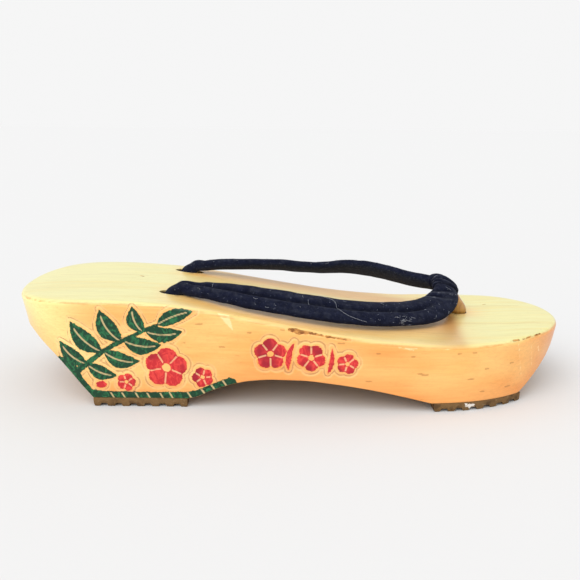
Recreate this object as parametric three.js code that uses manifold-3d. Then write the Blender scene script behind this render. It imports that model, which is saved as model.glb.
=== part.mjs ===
// Geta sandal for the right foot: a carved wooden sole on two ribbed rubber treads,
// padded velvet straps that meet over a toe post, and a velvet toe loop that ties them down.
// Frame: +X from heel to toe, +Y to the inner side of the foot, +Z up, floor at z = 0, millimetres.

import * as THREE from 'three';
import Module from 'manifold-3d';
import { mergeVertices } from 'three/addons/utils/BufferGeometryUtils.js';

const wasm = await Module();
wasm.setup();

// Wooden sole, seen from above
const soleLength = 240;
const heelWidth = 83.2;
const waistWidth = 80.8;
const ballWidth = 90.4;
const outerBow = 8.6; // how far the middle line bows to the outer side
const bowLean = 1.285; // over 1 moves the deepest part of the bow forward
const bowFullness = 0.85; // under 1 fills the bow out towards both ends
const heelRoundLength = 30; // length over which the heel end rounds off
const toeRoundLength = 60; // length over which the toe end rounds off
const heelSquareness = 2.25; // 2 is an ellipse, more is squarer
const toeSquareness = 2.07;

// Wooden sole, seen from the side
const heelHeight = 45.1; // deck above the floor at the heel
const ballHeight = 28.4; // deck above the floor at the ball
const heelWallHeight = 12.6; // upright wall at the heel tip, above the slanted cut
const toeWallHeight = 8.4; // upright wall at the toe tip, above the rising cut
const archRise = 9.4; // top of the arch above the treads' upper face
const deckEdgeRadius = 2;
const sideTaper = 3.4; // degrees that the side walls lean in towards the floor
const endTaper = 11; // degrees that the heel and toe walls lean in

// Ribbed rubber treads
const treadThickness = 3.7;
const heelTreadSetback = 35.7; // heel tip to the heel tread
const heelTreadLength = 38.3;
const toeTreadSetback = 27.4; // toe tip to the forefoot tread
const forefootTreadLength = 39.6;
const ribPitch = 6.2; // wanted spacing, rounded to a whole number of grooves
const ribFoot = 2.4; // width of a rib where it meets the floor
const grooveDepth = 1.2;
const grooveTopShare = 0.6; // groove width at its top as a share of its mouth
const rearEase = 1.3; // height of the eased lower corner at the back of a tread

// Holes in the sole
const rearHoleSetback = 68.2; // heel tip to the middle of the rear holes
const rearHoleSpread = 47; // between the two rear holes
const holeAxisOffset = -0.7; // side shift of the line halfway between the rear holes
const rearHoleLength = 12.8; // oval mouth on the deck, along the sole
const rearHoleWidth = 7.2;
const rearHoleRun = 14; // how far forward the hole slants on its way down
const toeHoleSetback = 44.6; // toe tip to the toe post
const postClearance = 0.4; // between the post and its hole
const knotRecessDiameter = 13;
const knotRecessDepth = 6.5;

// Straps
const strapWidth = 14.6;
const strapThickness = 5;
const strapChannel = 1.1; // depth of the sewn channel along the middle of the top
const strapRootDiameter = 6.2; // where a strap gathers into its hole
const strapTailDiameter = 5.2;
const rootDepths = [8, 5, 2.2]; // depths in the hole at which a strap's root has sections
const junctionGap = 8.6; // underside of the straps above the deck, over the post
const sectionSquareness = 2.5; // 2 is an ellipse, more is squarer
const channelShare = 0.14; // half width of the channel as a share of the strap's width
const liningShare = 0.84; // depth of the flat lined side as a share of the padded side's

// Toe post and toe loop
const postDiameter = 6.6;
const postWall = 0.9;
const postSeatDepth = 4; // how far the post reaches down into its hole
const cordClearance = 0.3; // between the cord and the post around it
const loopLength = 11; // along the straps
const loopWall = 1.3;
const seatGap = 0.3; // between soft pieces that lie on each other
const knotDiameter = 11;
const knotHeight = 6;

// Facets
const heelSteps = 10;
const middleSteps = 20;
const toeSteps = 14;
const roundingSteps = 3;
const profileSteps = 22;
const strapSteps = 104;
const loopSteps = 10;
const sectionSides = 18;
const holeSides = 24;
const cordSides = 14;

// Deck: height between ball and heel as a share of their difference, by share of the length
const deckRows = [
  { along: 0.0, lift: 0.92 },
  { along: 0.06, lift: 0.98 },
  { along: 0.15, lift: 1.0 },
  { along: 0.25, lift: 0.95 },
  { along: 0.34, lift: 0.8 },
  { along: 0.42, lift: 0.61 },
  { along: 0.5, lift: 0.405 },
  { along: 0.58, lift: 0.215 },
  { along: 0.66, lift: 0.08 },
  { along: 0.75, lift: 0.0 },
  { along: 0.85, lift: 0.01 },
  { along: 0.94, lift: 0.05 },
  { along: 1.0, lift: 0.035 },
];

// Slanted cut under the heel: from the heel wall to the heel tread, falling by a share of its height
const heelCutRows = [
  { along: 0.0, lift: 1.0 },
  { along: 0.2, lift: 0.955 },
  { along: 0.38, lift: 0.82 },
  { along: 0.55, lift: 0.66 },
  { along: 0.72, lift: 0.44 },
  { along: 0.87, lift: 0.2 },
  { along: 1.0, lift: 0.0 },
];

// Arch between the treads: height as a share of its rise
const archRows = [
  { along: 0.0, lift: 0.0 },
  { along: 0.04, lift: 0.1 },
  { along: 0.1, lift: 0.4 },
  { along: 0.18, lift: 0.71 },
  { along: 0.26, lift: 0.91 },
  { along: 0.36, lift: 1.0 },
  { along: 0.46, lift: 1.0 },
  { along: 0.6, lift: 0.87 },
  { along: 0.75, lift: 0.63 },
  { along: 0.88, lift: 0.33 },
  { along: 1.0, lift: 0.0 },
];

// Rising cut under the toe: from the forefoot tread to the toe wall
const toeCutRows = [
  { along: 0.0, lift: 0.0 },
  { along: 0.15, lift: 0.15 },
  { along: 0.3, lift: 0.33 },
  { along: 0.45, lift: 0.5 },
  { along: 0.6, lift: 0.68 },
  { along: 0.72, lift: 0.85 },
  { along: 0.85, lift: 0.96 },
  { along: 1.0, lift: 1.0 },
];

// Straps, a row for each section. along: share of the way from the rear holes to the toe post;
// side: share of half the rear spread; gap: underside above the deck as a share of the junction's;
// width: share of the strap's full width; depth: share of its full thickness;
// tilt: degrees that the inner edge is raised.
const innerStrapRows = [
  { along: 0.03, side: 0.99, gap: 0.05, width: 0.46, depth: 1.16, tilt: 8 },
  { along: 0.07, side: 1.0, gap: 0.1, width: 0.5, depth: 1.12, tilt: 12 },
  { along: 0.12, side: 1.02, gap: 0.2, width: 0.56, depth: 1.04, tilt: 16 },
  { along: 0.2, side: 1.07, gap: 0.36, width: 0.68, depth: 1.0, tilt: 18 },
  { along: 0.28, side: 1.12, gap: 0.48, width: 0.82, depth: 1.0, tilt: 19 },
  { along: 0.36, side: 1.16, gap: 0.6, width: 0.94, depth: 1.0, tilt: 20 },
  { along: 0.44, side: 1.18, gap: 0.68, width: 0.99, depth: 1.0, tilt: 21 },
  { along: 0.53, side: 1.17, gap: 0.84, width: 1.0, depth: 1.0, tilt: 24 },
  { along: 0.62, side: 1.11, gap: 1.06, width: 1.0, depth: 1.0, tilt: 30 },
  { along: 0.7, side: 0.98, gap: 1.1, width: 1.0, depth: 1.0, tilt: 34 },
  { along: 0.78, side: 0.76, gap: 1.04, width: 0.97, depth: 1.0, tilt: 36 },
  { along: 0.85, side: 0.51, gap: 0.97, width: 0.9, depth: 1.0, tilt: 36 },
  { along: 0.91, side: 0.28, gap: 0.96, width: 0.84, depth: 1.02, tilt: 35 },
];
const junctionRow = { along: 0.947, side: 0.04, gap: 1.0, width: 0.8, depth: 1.06, tilt: 34 };
const outerStrapRows = [
  { along: 0.028, side: 1.03, gap: 0.05, width: 0.46, depth: 1.16, tilt: 6 },
  { along: 0.06, side: 1.1, gap: 0.07, width: 0.5, depth: 1.12, tilt: 10 },
  { along: 0.1, side: 1.19, gap: 0.1, width: 0.56, depth: 1.04, tilt: 15 },
  { along: 0.18, side: 1.34, gap: 0.12, width: 0.64, depth: 1.0, tilt: 20 },
  { along: 0.26, side: 1.44, gap: 0.13, width: 0.76, depth: 1.0, tilt: 23 },
  { along: 0.34, side: 1.49, gap: 0.14, width: 0.9, depth: 1.0, tilt: 25 },
  { along: 0.42, side: 1.5, gap: 0.15, width: 0.98, depth: 1.0, tilt: 26 },
  { along: 0.52, side: 1.46, gap: 0.14, width: 1.0, depth: 1.0, tilt: 26 },
  { along: 0.62, side: 1.36, gap: 0.12, width: 1.0, depth: 1.0, tilt: 26 },
  { along: 0.71, side: 1.22, gap: 0.12, width: 1.0, depth: 1.0, tilt: 26 },
  { along: 0.8, side: 1.02, gap: 0.12, width: 1.0, depth: 1.0, tilt: 27 },
  { along: 0.87, side: 0.8, gap: 0.17, width: 0.97, depth: 1.0, tilt: 29 },
  { along: 0.92, side: 0.56, gap: 0.34, width: 0.92, depth: 1.0, tilt: 31 },
  { along: 0.953, side: 0.31, gap: 0.68, width: 0.86, depth: 1.02, tilt: 33 },
];

// Smooth value of a table's column at a share of the way, without overshoot between the rows
function readRows(rows, column, along) {
  const last = rows.length - 2;
  let k = 0;
  while (k < last && along > rows[k + 1].along) k += 1;
  const slope = (j) => {
    if (j < 0 || j > last) return 0;
    return (rows[j + 1][column] - rows[j][column]) / (rows[j + 1].along - rows[j].along);
  };
  const tangent = (j) => {
    const before = slope(j - 1);
    const after = slope(j);
    if (j === 0) return after;
    if (j === last + 1) return before;
    return before * after <= 0 ? 0 : (2 * before * after) / (before + after);
  };
  const span = rows[k + 1].along - rows[k].along;
  const t = Math.min(Math.max((along - rows[k].along) / span, 0), 1);
  const t2 = t * t;
  const t3 = t2 * t;
  return (2 * t3 - 3 * t2 + 1) * rows[k][column] + (t3 - 2 * t2 + t) * span * tangent(k)
    + (3 * t2 - 2 * t3) * rows[k + 1][column] + (t3 - t2) * span * tangent(k + 1);
}

// Half a cosine wave that eases from 0 to 1
const upright = new THREE.Vector3(0, 1, 0); // long axis of a cylinder and of a ball's rings
const ease = (t) => (1 - Math.cos(Math.PI * t)) / 2;
const radians = (degrees) => (degrees * Math.PI) / 180;

// Places along the sole, with x = 0 at the heel tip until the outline is centred
const toeHoleX = soleLength - toeHoleSetback;
const heelTreadEnd = heelTreadSetback + heelTreadLength;
const forefootTreadEnd = soleLength - toeTreadSetback;
const forefootTreadStart = forefootTreadEnd - forefootTreadLength;
const waistX = heelTreadEnd;
const ballX = soleLength - toeRoundLength;

// Half width: rounded ends, and a waist that eases from the heel's width to the ball's
function halfWidth(x) {
  if (x < heelRoundLength) {
    const share = Math.min(1, (heelRoundLength - x) / heelRoundLength);
    return (heelWidth / 2) * (1 - share ** heelSquareness) ** (1 / heelSquareness);
  }
  if (x > ballX) {
    const share = Math.min(1, (x - ballX) / toeRoundLength);
    return (ballWidth / 2) * (1 - share ** toeSquareness) ** (1 / toeSquareness);
  }
  if (x < waistX) {
    const share = (x - heelRoundLength) / (waistX - heelRoundLength);
    return (heelWidth + (waistWidth - heelWidth) * ease(share)) / 2;
  }
  return (waistWidth + (ballWidth - waistWidth) * ease((x - waistX) / (ballX - waistX))) / 2;
}

// Middle line: a bow to the outer side, deepest a little forward of the middle
function middleLine(x) {
  const share = Math.min(Math.max(x / soleLength, 0), 1);
  return -outerBow * Math.sin(Math.PI * share ** bowLean) ** bowFullness;
}

const deckHeight = (x) => ballHeight + (heelHeight - ballHeight) * readRows(deckRows, 'lift', x / soleLength);

// Stations along the sole, closer together where the ends round off
function soleStations() {
  const xs = [];
  for (let k = 0; k < heelSteps; k += 1) {
    xs.push(heelRoundLength * (1 - Math.cos((Math.PI / 2) * (k / heelSteps)) ** (2 / heelSquareness)));
  }
  for (let k = 0; k < middleSteps; k += 1) {
    xs.push(heelRoundLength + (ballX - heelRoundLength) * (k / middleSteps));
  }
  for (let k = 0; k <= toeSteps; k += 1) {
    const share = Math.sin((Math.PI / 2) * (k / toeSteps)) ** (2 / toeSquareness);
    xs.push(ballX + toeRoundLength * share);
  }
  return xs;
}

// Outline of the sole as one ring: heel tip, outer side, toe tip, inner side
const stations = soleStations();
const outline = [
  ...stations.map((x) => new THREE.Vector2(x, middleLine(x) - halfWidth(x))),
  ...stations.slice(1, -1).reverse().map((x) => new THREE.Vector2(x, middleLine(x) + halfWidth(x))),
];
const outlineNormals = outline.map((point, k) => {
  const before = outline[(k + outline.length - 1) % outline.length];
  const after = outline[(k + 1) % outline.length];
  return new THREE.Vector2(after.y - before.y, before.x - after.x).normalize();
});
const outlineBox = new THREE.Box2().setFromPoints(outline);
const frameCentre = outlineBox.getCenter(new THREE.Vector2());

// Mesh data of a closed solid from rings of points, with a fan or a ladder of strips over each end
function solidFromRings(rings, cap) {
  const sides = rings[0].length;
  const points = rings.flat();
  const triangles = [];
  for (let r = 0; r + 1 < rings.length; r += 1) {
    for (let k = 0; k < sides; k += 1) {
      const next = (k + 1) % sides;
      const a = r * sides + k;
      const b = r * sides + next;
      triangles.push([a, b, b + sides], [a, b + sides, a + sides]);
    }
  }
  const top = (rings.length - 1) * sides;
  for (const [a, b, c] of cap(sides)) {
    triangles.push([a, c, b], [top + a, top + b, top + c]);
  }
  return { points, triangles };
}

const fanCap = (sides) => {
  const triangles = [];
  for (let k = 1; k + 1 < sides; k += 1) triangles.push([0, k, k + 1]);
  return triangles;
};

// Strips straight across, between the points of the two sides that share a station
const ladderCap = (sides) => {
  const half = sides / 2;
  const triangles = [[0, 1, sides - 1]];
  for (let k = 1; k + 1 < half; k += 1) {
    triangles.push([k, k + 1, sides - k - 1], [k, sides - k - 1, sides - k]);
  }
  triangles.push([half - 1, half, half + 1]);
  return triangles;
};

function manifoldFromData({ points, triangles }) {
  const vertProperties = new Float32Array(points.flatMap((point) => [point.x, point.y, point.z]));
  const triVerts = new Uint32Array(triangles.flat());
  return new wasm.Manifold(new wasm.Mesh({ numProp: 3, vertProperties, triVerts }));
}

function manifoldFromGeometry(geometry) {
  const plain = geometry.clone();
  plain.deleteAttribute('normal');
  plain.deleteAttribute('uv');
  const merged = mergeVertices(plain, 1e-4);
  return new wasm.Manifold(new wasm.Mesh({
    numProp: 3,
    vertProperties: new Float32Array(merged.attributes.position.array),
    triVerts: new Uint32Array(merged.index.array),
  }));
}

// Named mesh from a solid, moved so that the outline's middle is over the origin
function meshFromSolid(name, solid, material) {
  const { numProp, vertProperties, triVerts } = solid.getMesh();
  const positions = [];
  for (let k = 0; k < vertProperties.length; k += numProp) {
    positions.push(
      vertProperties[k] - frameCentre.x,
      vertProperties[k + 1] - frameCentre.y,
      vertProperties[k + 2],
    );
  }
  const geometry = new THREE.BufferGeometry();
  geometry.setAttribute('position', new THREE.Float32BufferAttribute(positions, 3));
  geometry.setIndex([...triVerts]);
  geometry.computeVertexNormals();
  const mesh = new THREE.Mesh(geometry, material);
  mesh.name = name;
  return mesh;
}

// Block with the sole's outline: rounded deck edge and walls that lean in towards the floor
const blockBelow = 2; // the block runs on under the floor and is cut to its profile afterwards
function soleBlock() {
  const ring = (inset, drop) => outline.map((point, k) => {
    const normal = outlineNormals[k];
    const x = point.x - normal.x * inset;
    return new THREE.Vector3(x, point.y - normal.y * inset, deckHeight(x) - drop);
  });
  const rings = [];
  for (let k = roundingSteps; k >= 0; k -= 1) {
    const angle = (Math.PI / 2) * (k / roundingSteps);
    rings.unshift(ring(deckEdgeRadius * (1 - Math.cos(angle)), deckEdgeRadius * (1 - Math.sin(angle))));
  }
  const foot = outline.map((point, k) => {
    const normal = outlineNormals[k];
    const taper = sideTaper + (endTaper - sideTaper) * normal.x ** 2;
    const inset = (deckHeight(point.x) + blockBelow) * Math.tan(radians(taper));
    return new THREE.Vector3(point.x - normal.x * inset, point.y - normal.y * inset, -blockBelow);
  });
  return manifoldFromData(solidFromRings([foot, ...rings], ladderCap));
}

// Side view carried straight across the sole
function acrossSole(outlinePoints) {
  const shape = new THREE.Shape(outlinePoints.map(([x, z]) => new THREE.Vector2(x, z)));
  const width = 2 * (ballWidth + outerBow);
  const geometry = new THREE.ExtrudeGeometry(shape, { depth: width, bevelEnabled: false, steps: 1 });
  geometry.rotateX(Math.PI / 2);
  geometry.translate(0, width / 2, 0);
  return manifoldFromGeometry(geometry);
}

// Underside of the wood, from the heel wall to the toe wall
const heelCutTop = deckHeight(0) - heelWallHeight;
const toeCutTop = deckHeight(soleLength) - toeWallHeight;
const heelCutStart = heelWallHeight * Math.tan(radians(endTaper));
const toeCutEnd = soleLength - toeWallHeight * Math.tan(radians(endTaper));

function curvePoints(rows, fromX, toX, fromZ, rise, steps) {
  const points = [];
  for (let k = 0; k <= steps; k += 1) {
    const along = k / steps;
    points.push([fromX + (toX - fromX) * along, fromZ + rise * readRows(rows, 'lift', along)]);
  }
  return points;
}

function undersideProfile() {
  const past = 10; // the cutter reaches past both ends and above the deck
  const cutSteps = Math.round(profileSteps / 2);
  const heelRise = heelCutTop - treadThickness;
  const toeRise = toeCutTop - treadThickness;
  return [
    [-past, heelCutTop],
    ...curvePoints(heelCutRows, heelCutStart, heelTreadSetback, treadThickness, heelRise, cutSteps),
    ...curvePoints(archRows, heelTreadEnd, forefootTreadStart, treadThickness, archRise, profileSteps),
    ...curvePoints(toeCutRows, forefootTreadEnd, toeCutEnd, treadThickness, toeRise, cutSteps),
    [soleLength + past, toeCutTop],
    [soleLength + past, heelHeight + past],
    [-past, heelHeight + past],
  ];
}

// Round bar between two points
function barBetween(start, end, diameter, sides) {
  const axis = end.clone().sub(start);
  const geometry = new THREE.CylinderGeometry(diameter / 2, diameter / 2, axis.length(), sides);
  const turn = new THREE.Quaternion().setFromUnitVectors(upright, axis.clone().normalize());
  const middle = start.clone().add(end).multiplyScalar(0.5);
  geometry.applyMatrix4(new THREE.Matrix4().compose(middle, turn, new THREE.Vector3(1, 1, 1)));
  return manifoldFromGeometry(geometry);
}

// Squashed ball, turned so that its short way lies along an axis
function knotAt(centre, axis) {
  const geometry = new THREE.SphereGeometry(1, cordSides, Math.round(cordSides / 2));
  const turn = new THREE.Quaternion().setFromUnitVectors(upright, axis);
  const size = new THREE.Vector3(knotDiameter / 2, knotHeight / 2, knotDiameter / 2);
  geometry.applyMatrix4(new THREE.Matrix4().compose(centre, turn, size));
  return manifoldFromGeometry(geometry);
}

// Rear holes: an oval mouth on the deck narrows to a round bore that comes out in the arch
const halfSpread = rearHoleSpread / 2;
const sideY = (side) => holeAxisOffset + side * halfSpread;
const archZ = (x) => treadThickness
  + archRise * readRows(archRows, 'lift', (x - heelTreadEnd) / (forefootTreadStart - heelTreadEnd));

function rearHole(side) {
  const mouth = new THREE.Vector3(rearHoleSetback, sideY(side), deckHeight(rearHoleSetback));
  const exitX = rearHoleSetback + rearHoleRun;
  const exit = new THREE.Vector3(exitX, sideY(side), archZ(exitX));
  const axis = exit.clone().sub(mouth).normalize();
  return { mouth, exit, axis };
}

function rearHoleCutter({ mouth, exit, axis }) {
  const overrun = 12;
  const bore = strapTailDiameter + 2 * postClearance + 1;
  const oval = (centre, length, width) => {
    const points = [];
    for (let k = 0; k < holeSides; k += 1) {
      const angle = (2 * Math.PI * k) / holeSides;
      points.push(centre.clone().add(
        new THREE.Vector3((length / 2) * Math.cos(angle), (width / 2) * Math.sin(angle), 0),
      ));
    }
    return points;
  };
  const below = exit.clone().addScaledVector(axis, overrun);
  const rise = new THREE.Vector3(0, 0, overrun);
  const throat = mouth.clone().lerp(exit, 0.35);
  const hole = manifoldFromData(solidFromRings([
    oval(below, bore, bore),
    oval(throat, bore, bore),
    oval(mouth, rearHoleLength, rearHoleWidth),
    oval(mouth.clone().add(rise), rearHoleLength, rearHoleWidth),
  ], fanCap));
  const recessTop = exit.clone().addScaledVector(axis, -knotRecessDepth);
  return hole.add(barBetween(below, recessTop, knotRecessDiameter, holeSides));
}

// Middle of a strap section above the deck: its gap plus the drop of its tilted lower edge
function sectionCentre(row, side) {
  const x = rearHoleSetback + row.along * (toeHoleX - rearHoleSetback);
  const width = row.width * strapWidth;
  const depth = row.depth * strapThickness;
  const drop = depth / 2 + (Math.max(width - depth, 0) / 2) * Math.sin(radians(row.tilt));
  const z = deckHeight(x) + row.gap * junctionGap + drop;
  return { centre: new THREE.Vector3(x, sideY(side * row.side), z), width, depth, tilt: row.tilt };
}

// The root of a strap: up out of its hole and over, before the first row of its table
function rootSections(side) {
  const { mouth, axis } = rearHole(side);
  const size = { width: strapRootDiameter, depth: strapRootDiameter, tilt: 0 };
  const centreAt = (depth) => mouth.clone().addScaledVector(axis, -depth / axis.z);
  return rootDepths.map((depth) => ({ centre: centreAt(depth), ...size }));
}

// The whole strap line, from the inner root over the junction to the outer root
const strapSections = [
  ...rootSections(1),
  ...innerStrapRows.map((row) => sectionCentre(row, 1)),
  sectionCentre(junctionRow, 1),
  ...outerStrapRows.slice().reverse().map((row) => sectionCentre(row, -1)),
  ...rootSections(-1).reverse(),
];
const strapCentres = strapSections.map((section) => section.centre);
const strapLine = new THREE.CatmullRomCurve3(strapCentres, false, 'centripetal');
const lastSection = strapSections.length - 1;
const junctionIndex = rootDepths.length + innerStrapRows.length;

// Size and tilt of the strap where its line is at share t of the sections
function strapSizeAt(t) {
  const place = t * lastSection;
  const k = Math.min(Math.floor(place), lastSection - 1);
  const blend = ease(place - k);
  const mix = (column) => strapSections[k][column] * (1 - blend) + strapSections[k + 1][column] * blend;
  return { width: mix('width'), depth: mix('depth'), tilt: mix('tilt') };
}

// One section of the strap, grown outwards by a margin: two padded ridges over a flat lining.
// The outward side is to the left of the line, and the tilt raises the inner edge.
// Without detail it is the plain round-cornered section that goes around the strap.
function strapRing(t, margin, detail) {
  const { width, depth, tilt } = strapSizeAt(t);
  const centre = strapLine.getPoint(t);
  const tangent = strapLine.getTangent(t);
  const reach = 1 / lastSection;
  const rootEnd = rootDepths.length * reach; // a root keeps the heading that its strap starts with
  const flatT = Math.min(Math.max(t, rootEnd), 1 - rootEnd);
  const behind = strapLine.getPoint(flatT - reach);
  const ahead = strapLine.getPoint(flatT + reach);
  const heading = ahead.sub(behind).setZ(0).normalize();
  const outward = new THREE.Vector3(-heading.y, heading.x, 0);
  const up = tangent.clone().cross(outward).normalize();
  const lean = radians(tilt);
  const across = outward.clone().multiplyScalar(Math.cos(lean)).addScaledVector(up, -Math.sin(lean));
  const normal = up.clone().multiplyScalar(Math.cos(lean)).addScaledVector(outward, Math.sin(lean));
  const fullBand = Math.min(Math.max((width / depth - 1) / 1.5, 0), 1);
  const power = 2 / (2 + (sectionSquareness - 2) * fullBand);
  const round = (value) => Math.sign(value) * Math.abs(value) ** power;
  const ring = [];
  for (let k = 0; k < sectionSides; k += 1) {
    const angle = (2 * Math.PI * k) / sectionSides;
    const u = (width / 2 + margin) * round(Math.cos(angle));
    let v = (depth / 2 + margin) * round(Math.sin(angle));
    if (detail && v < 0) v *= 1 - (1 - liningShare) * fullBand;
    if (detail && v > 0) v -= strapChannel * fullBand * Math.exp(-((u / (channelShare * width)) ** 2));
    ring.push(centre.clone().addScaledVector(across, u).addScaledVector(normal, v));
  }
  return ring;
}

function sweptStrap(fromT, toT, steps, margin, detail) {
  const rings = [];
  for (let k = 0; k <= steps; k += 1) {
    rings.push(strapRing(fromT + (toT - fromT) * (k / steps), margin, detail));
  }
  return manifoldFromData(solidFromRings(rings, fanCap));
}

// Share of the line on each side of the junction that covers a length in millimetres
const junctionT = junctionIndex / lastSection;
const junctionPoint = strapLine.getPoint(junctionT);
function tAtDistance(distance) {
  const direction = Math.sign(distance);
  const step = direction / (lastSection * 200);
  let t = junctionT;
  let run = 0;
  let previous = junctionPoint;
  while (run < Math.abs(distance)) {
    t += step;
    const point = strapLine.getPoint(t);
    run += point.distanceTo(previous);
    previous = point;
  }
  return t;
}

// The toe post leans back from its hole to the underside of the junction
const postFoot = new THREE.Vector3(toeHoleX, 0, deckHeight(toeHoleX));
const postAxis = junctionPoint.clone().sub(postFoot).setY(0).normalize();
const alongPost = (distance) => postFoot.clone().addScaledVector(postAxis, distance);
const toeKnotZ = treadThickness + seatGap + knotHeight / 2;
const toeKnotCentre = alongPost((toeKnotZ - postFoot.z) / postAxis.z);

function makeSole() {
  let solid = soleBlock().intersect(acrossSole(undersideProfile()));
  for (const side of [1, -1]) solid = solid.subtract(rearHoleCutter(rearHole(side)));
  const boreTop = alongPost(knotRecessDiameter);
  solid = solid.subtract(barBetween(toeKnotCentre, boreTop, postDiameter + 2 * postClearance, holeSides));
  const recessFloor = toeKnotCentre.clone().setZ(0);
  const recessTop = toeKnotCentre.clone().setZ(treadThickness + knotRecessDepth);
  return solid.subtract(barBetween(recessFloor, recessTop, knotRecessDiameter, holeSides));
}

// Ribbed strip across the sole: the floor side is cut by grooves, the rear lower corner is eased
function makeTread(start, length) {
  const grooves = Math.max(1, Math.round((length - ribFoot) / ribPitch));
  const pitch = (length - ribFoot) / grooves;
  const mouth = pitch - ribFoot;
  const top = mouth * grooveTopShare;
  const profile = [[start, treadThickness], [start, rearEase], [start + rearEase / 2, 0]];
  for (let k = 0; k < grooves; k += 1) {
    const from = start + ribFoot + k * pitch;
    profile.push([from, 0]);
    profile.push([from + (mouth - top) / 2, grooveDepth]);
    profile.push([from + (mouth + top) / 2, grooveDepth]);
    profile.push([from + mouth, 0]);
  }
  profile.push([start + length, 0], [start + length, treadThickness]);
  return soleBlock().intersect(acrossSole(profile));
}

function makeStraps() {
  let solid = sweptStrap(0, 1, strapSteps, 0, true);
  for (const side of [1, -1]) {
    const { mouth, exit, axis } = rearHole(side);
    const knotCentre = exit.clone().addScaledVector(axis, -knotRecessDepth + knotHeight / 2 + seatGap);
    const tailTop = mouth.clone().addScaledVector(axis, -rootDepths[1] / axis.z);
    solid = solid.add(barBetween(knotCentre, tailTop, strapTailDiameter, cordSides));
    solid = solid.add(knotAt(knotCentre, axis));
  }
  return solid;
}

// Velvet loop around the junction, with its cord down through the post to a knot under the sole
const loopFrom = tAtDistance(-loopLength / 2);
const loopTo = tAtDistance(loopLength / 2);
const loopMargin = seatGap + loopWall;
const loopSpare = (loopTo - loopFrom) / loopSteps; // cutters run one step past the loop
function alongLoop(margin) {
  return sweptStrap(loopFrom - loopSpare, loopTo + loopSpare, loopSteps + 2, margin, false);
}

function makeToeLoop() {
  const outer = sweptStrap(loopFrom, loopTo, loopSteps, loopMargin, false);
  const cordDiameter = postDiameter - 2 * postWall - 2 * cordClearance;
  const cord = barBetween(toeKnotCentre, junctionPoint, cordDiameter, cordSides);
  const up = new THREE.Vector3(0, 0, 1);
  return outer.add(cord).subtract(alongLoop(seatGap)).add(knotAt(toeKnotCentre, up));
}

function makeToePost() {
  const tube = barBetween(alongPost(-postSeatDepth), junctionPoint, postDiameter, holeSides);
  const boreEnds = [alongPost(-2 * postSeatDepth), alongPost(3 * junctionGap)];
  const bore = barBetween(...boreEnds, postDiameter - 2 * postWall, holeSides);
  return tube.subtract(bore).subtract(alongLoop(loopMargin + seatGap));
}

const varnishedWood = new THREE.MeshStandardMaterial({ color: 0xf2c98a, roughness: 0.35, metalness: 0 });
const navyVelvet = new THREE.MeshStandardMaterial({ color: 0x1c2038, roughness: 0.95, metalness: 0 });
const loopVelvet = new THREE.MeshStandardMaterial({ color: 0x20243c, roughness: 0.95, metalness: 0 });
const brownPlastic = new THREE.MeshStandardMaterial({ color: 0xa8804e, roughness: 0.3, metalness: 0 });
const brownRubber = new THREE.MeshStandardMaterial({ color: 0x73552f, roughness: 0.85, metalness: 0 });

const sandal = new THREE.Group();
sandal.add(meshFromSolid('sole', makeSole(), varnishedWood));
sandal.add(meshFromSolid('straps', makeStraps(), navyVelvet));
sandal.add(meshFromSolid('toe_loop', makeToeLoop(), loopVelvet));
sandal.add(meshFromSolid('toe_post', makeToePost(), brownPlastic));
sandal.add(meshFromSolid('heel_tread', makeTread(heelTreadSetback, heelTreadLength), brownRubber));
sandal.add(meshFromSolid('forefoot_tread', makeTread(forefootTreadStart, forefootTreadLength), brownRubber));

export default sandal;
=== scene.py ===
# Geta sandal: varnished and painted wood, padded velvet straps with their toe loop and post,
# and ribbed rubber treads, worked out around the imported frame.
# Tables and dictionaries are in millimetres, with x from the heel tip towards the toe.
import math
import bpy
import numpy as np
from mathutils import Matrix, Vector
from mathutils.bvhtree import BVHTree


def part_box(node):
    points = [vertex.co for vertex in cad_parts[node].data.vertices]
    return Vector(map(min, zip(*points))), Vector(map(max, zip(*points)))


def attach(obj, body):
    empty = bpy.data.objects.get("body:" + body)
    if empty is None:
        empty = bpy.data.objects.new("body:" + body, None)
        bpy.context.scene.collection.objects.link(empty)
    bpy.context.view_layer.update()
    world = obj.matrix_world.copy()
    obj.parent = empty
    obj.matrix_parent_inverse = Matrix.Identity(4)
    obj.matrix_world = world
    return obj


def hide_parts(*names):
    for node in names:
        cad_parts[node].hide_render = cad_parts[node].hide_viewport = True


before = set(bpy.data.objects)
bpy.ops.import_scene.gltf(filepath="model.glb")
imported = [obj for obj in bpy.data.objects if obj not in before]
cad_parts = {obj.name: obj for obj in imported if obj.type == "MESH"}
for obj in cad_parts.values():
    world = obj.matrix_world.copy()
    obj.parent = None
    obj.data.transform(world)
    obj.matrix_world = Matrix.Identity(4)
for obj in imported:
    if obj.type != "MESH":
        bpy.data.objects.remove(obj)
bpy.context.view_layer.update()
mm = 0.001


def frameBox(node):
    # A CAD node's lowest and highest corner, in millimetres
    return [np.array(corner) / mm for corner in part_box(node)]


# Tables and noise


def ease(t):
    # Half a cosine wave from 0 at t = 0 to 1 at t = 1
    return (1 - np.cos(np.pi * t)) / 2


def smooth(low, high, value):
    # 0 below low, 1 above high, and a cubic ramp between them
    t = np.clip((value - low) / (high - low), 0, 1)
    return t * t * (3 - 2 * t)


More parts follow.
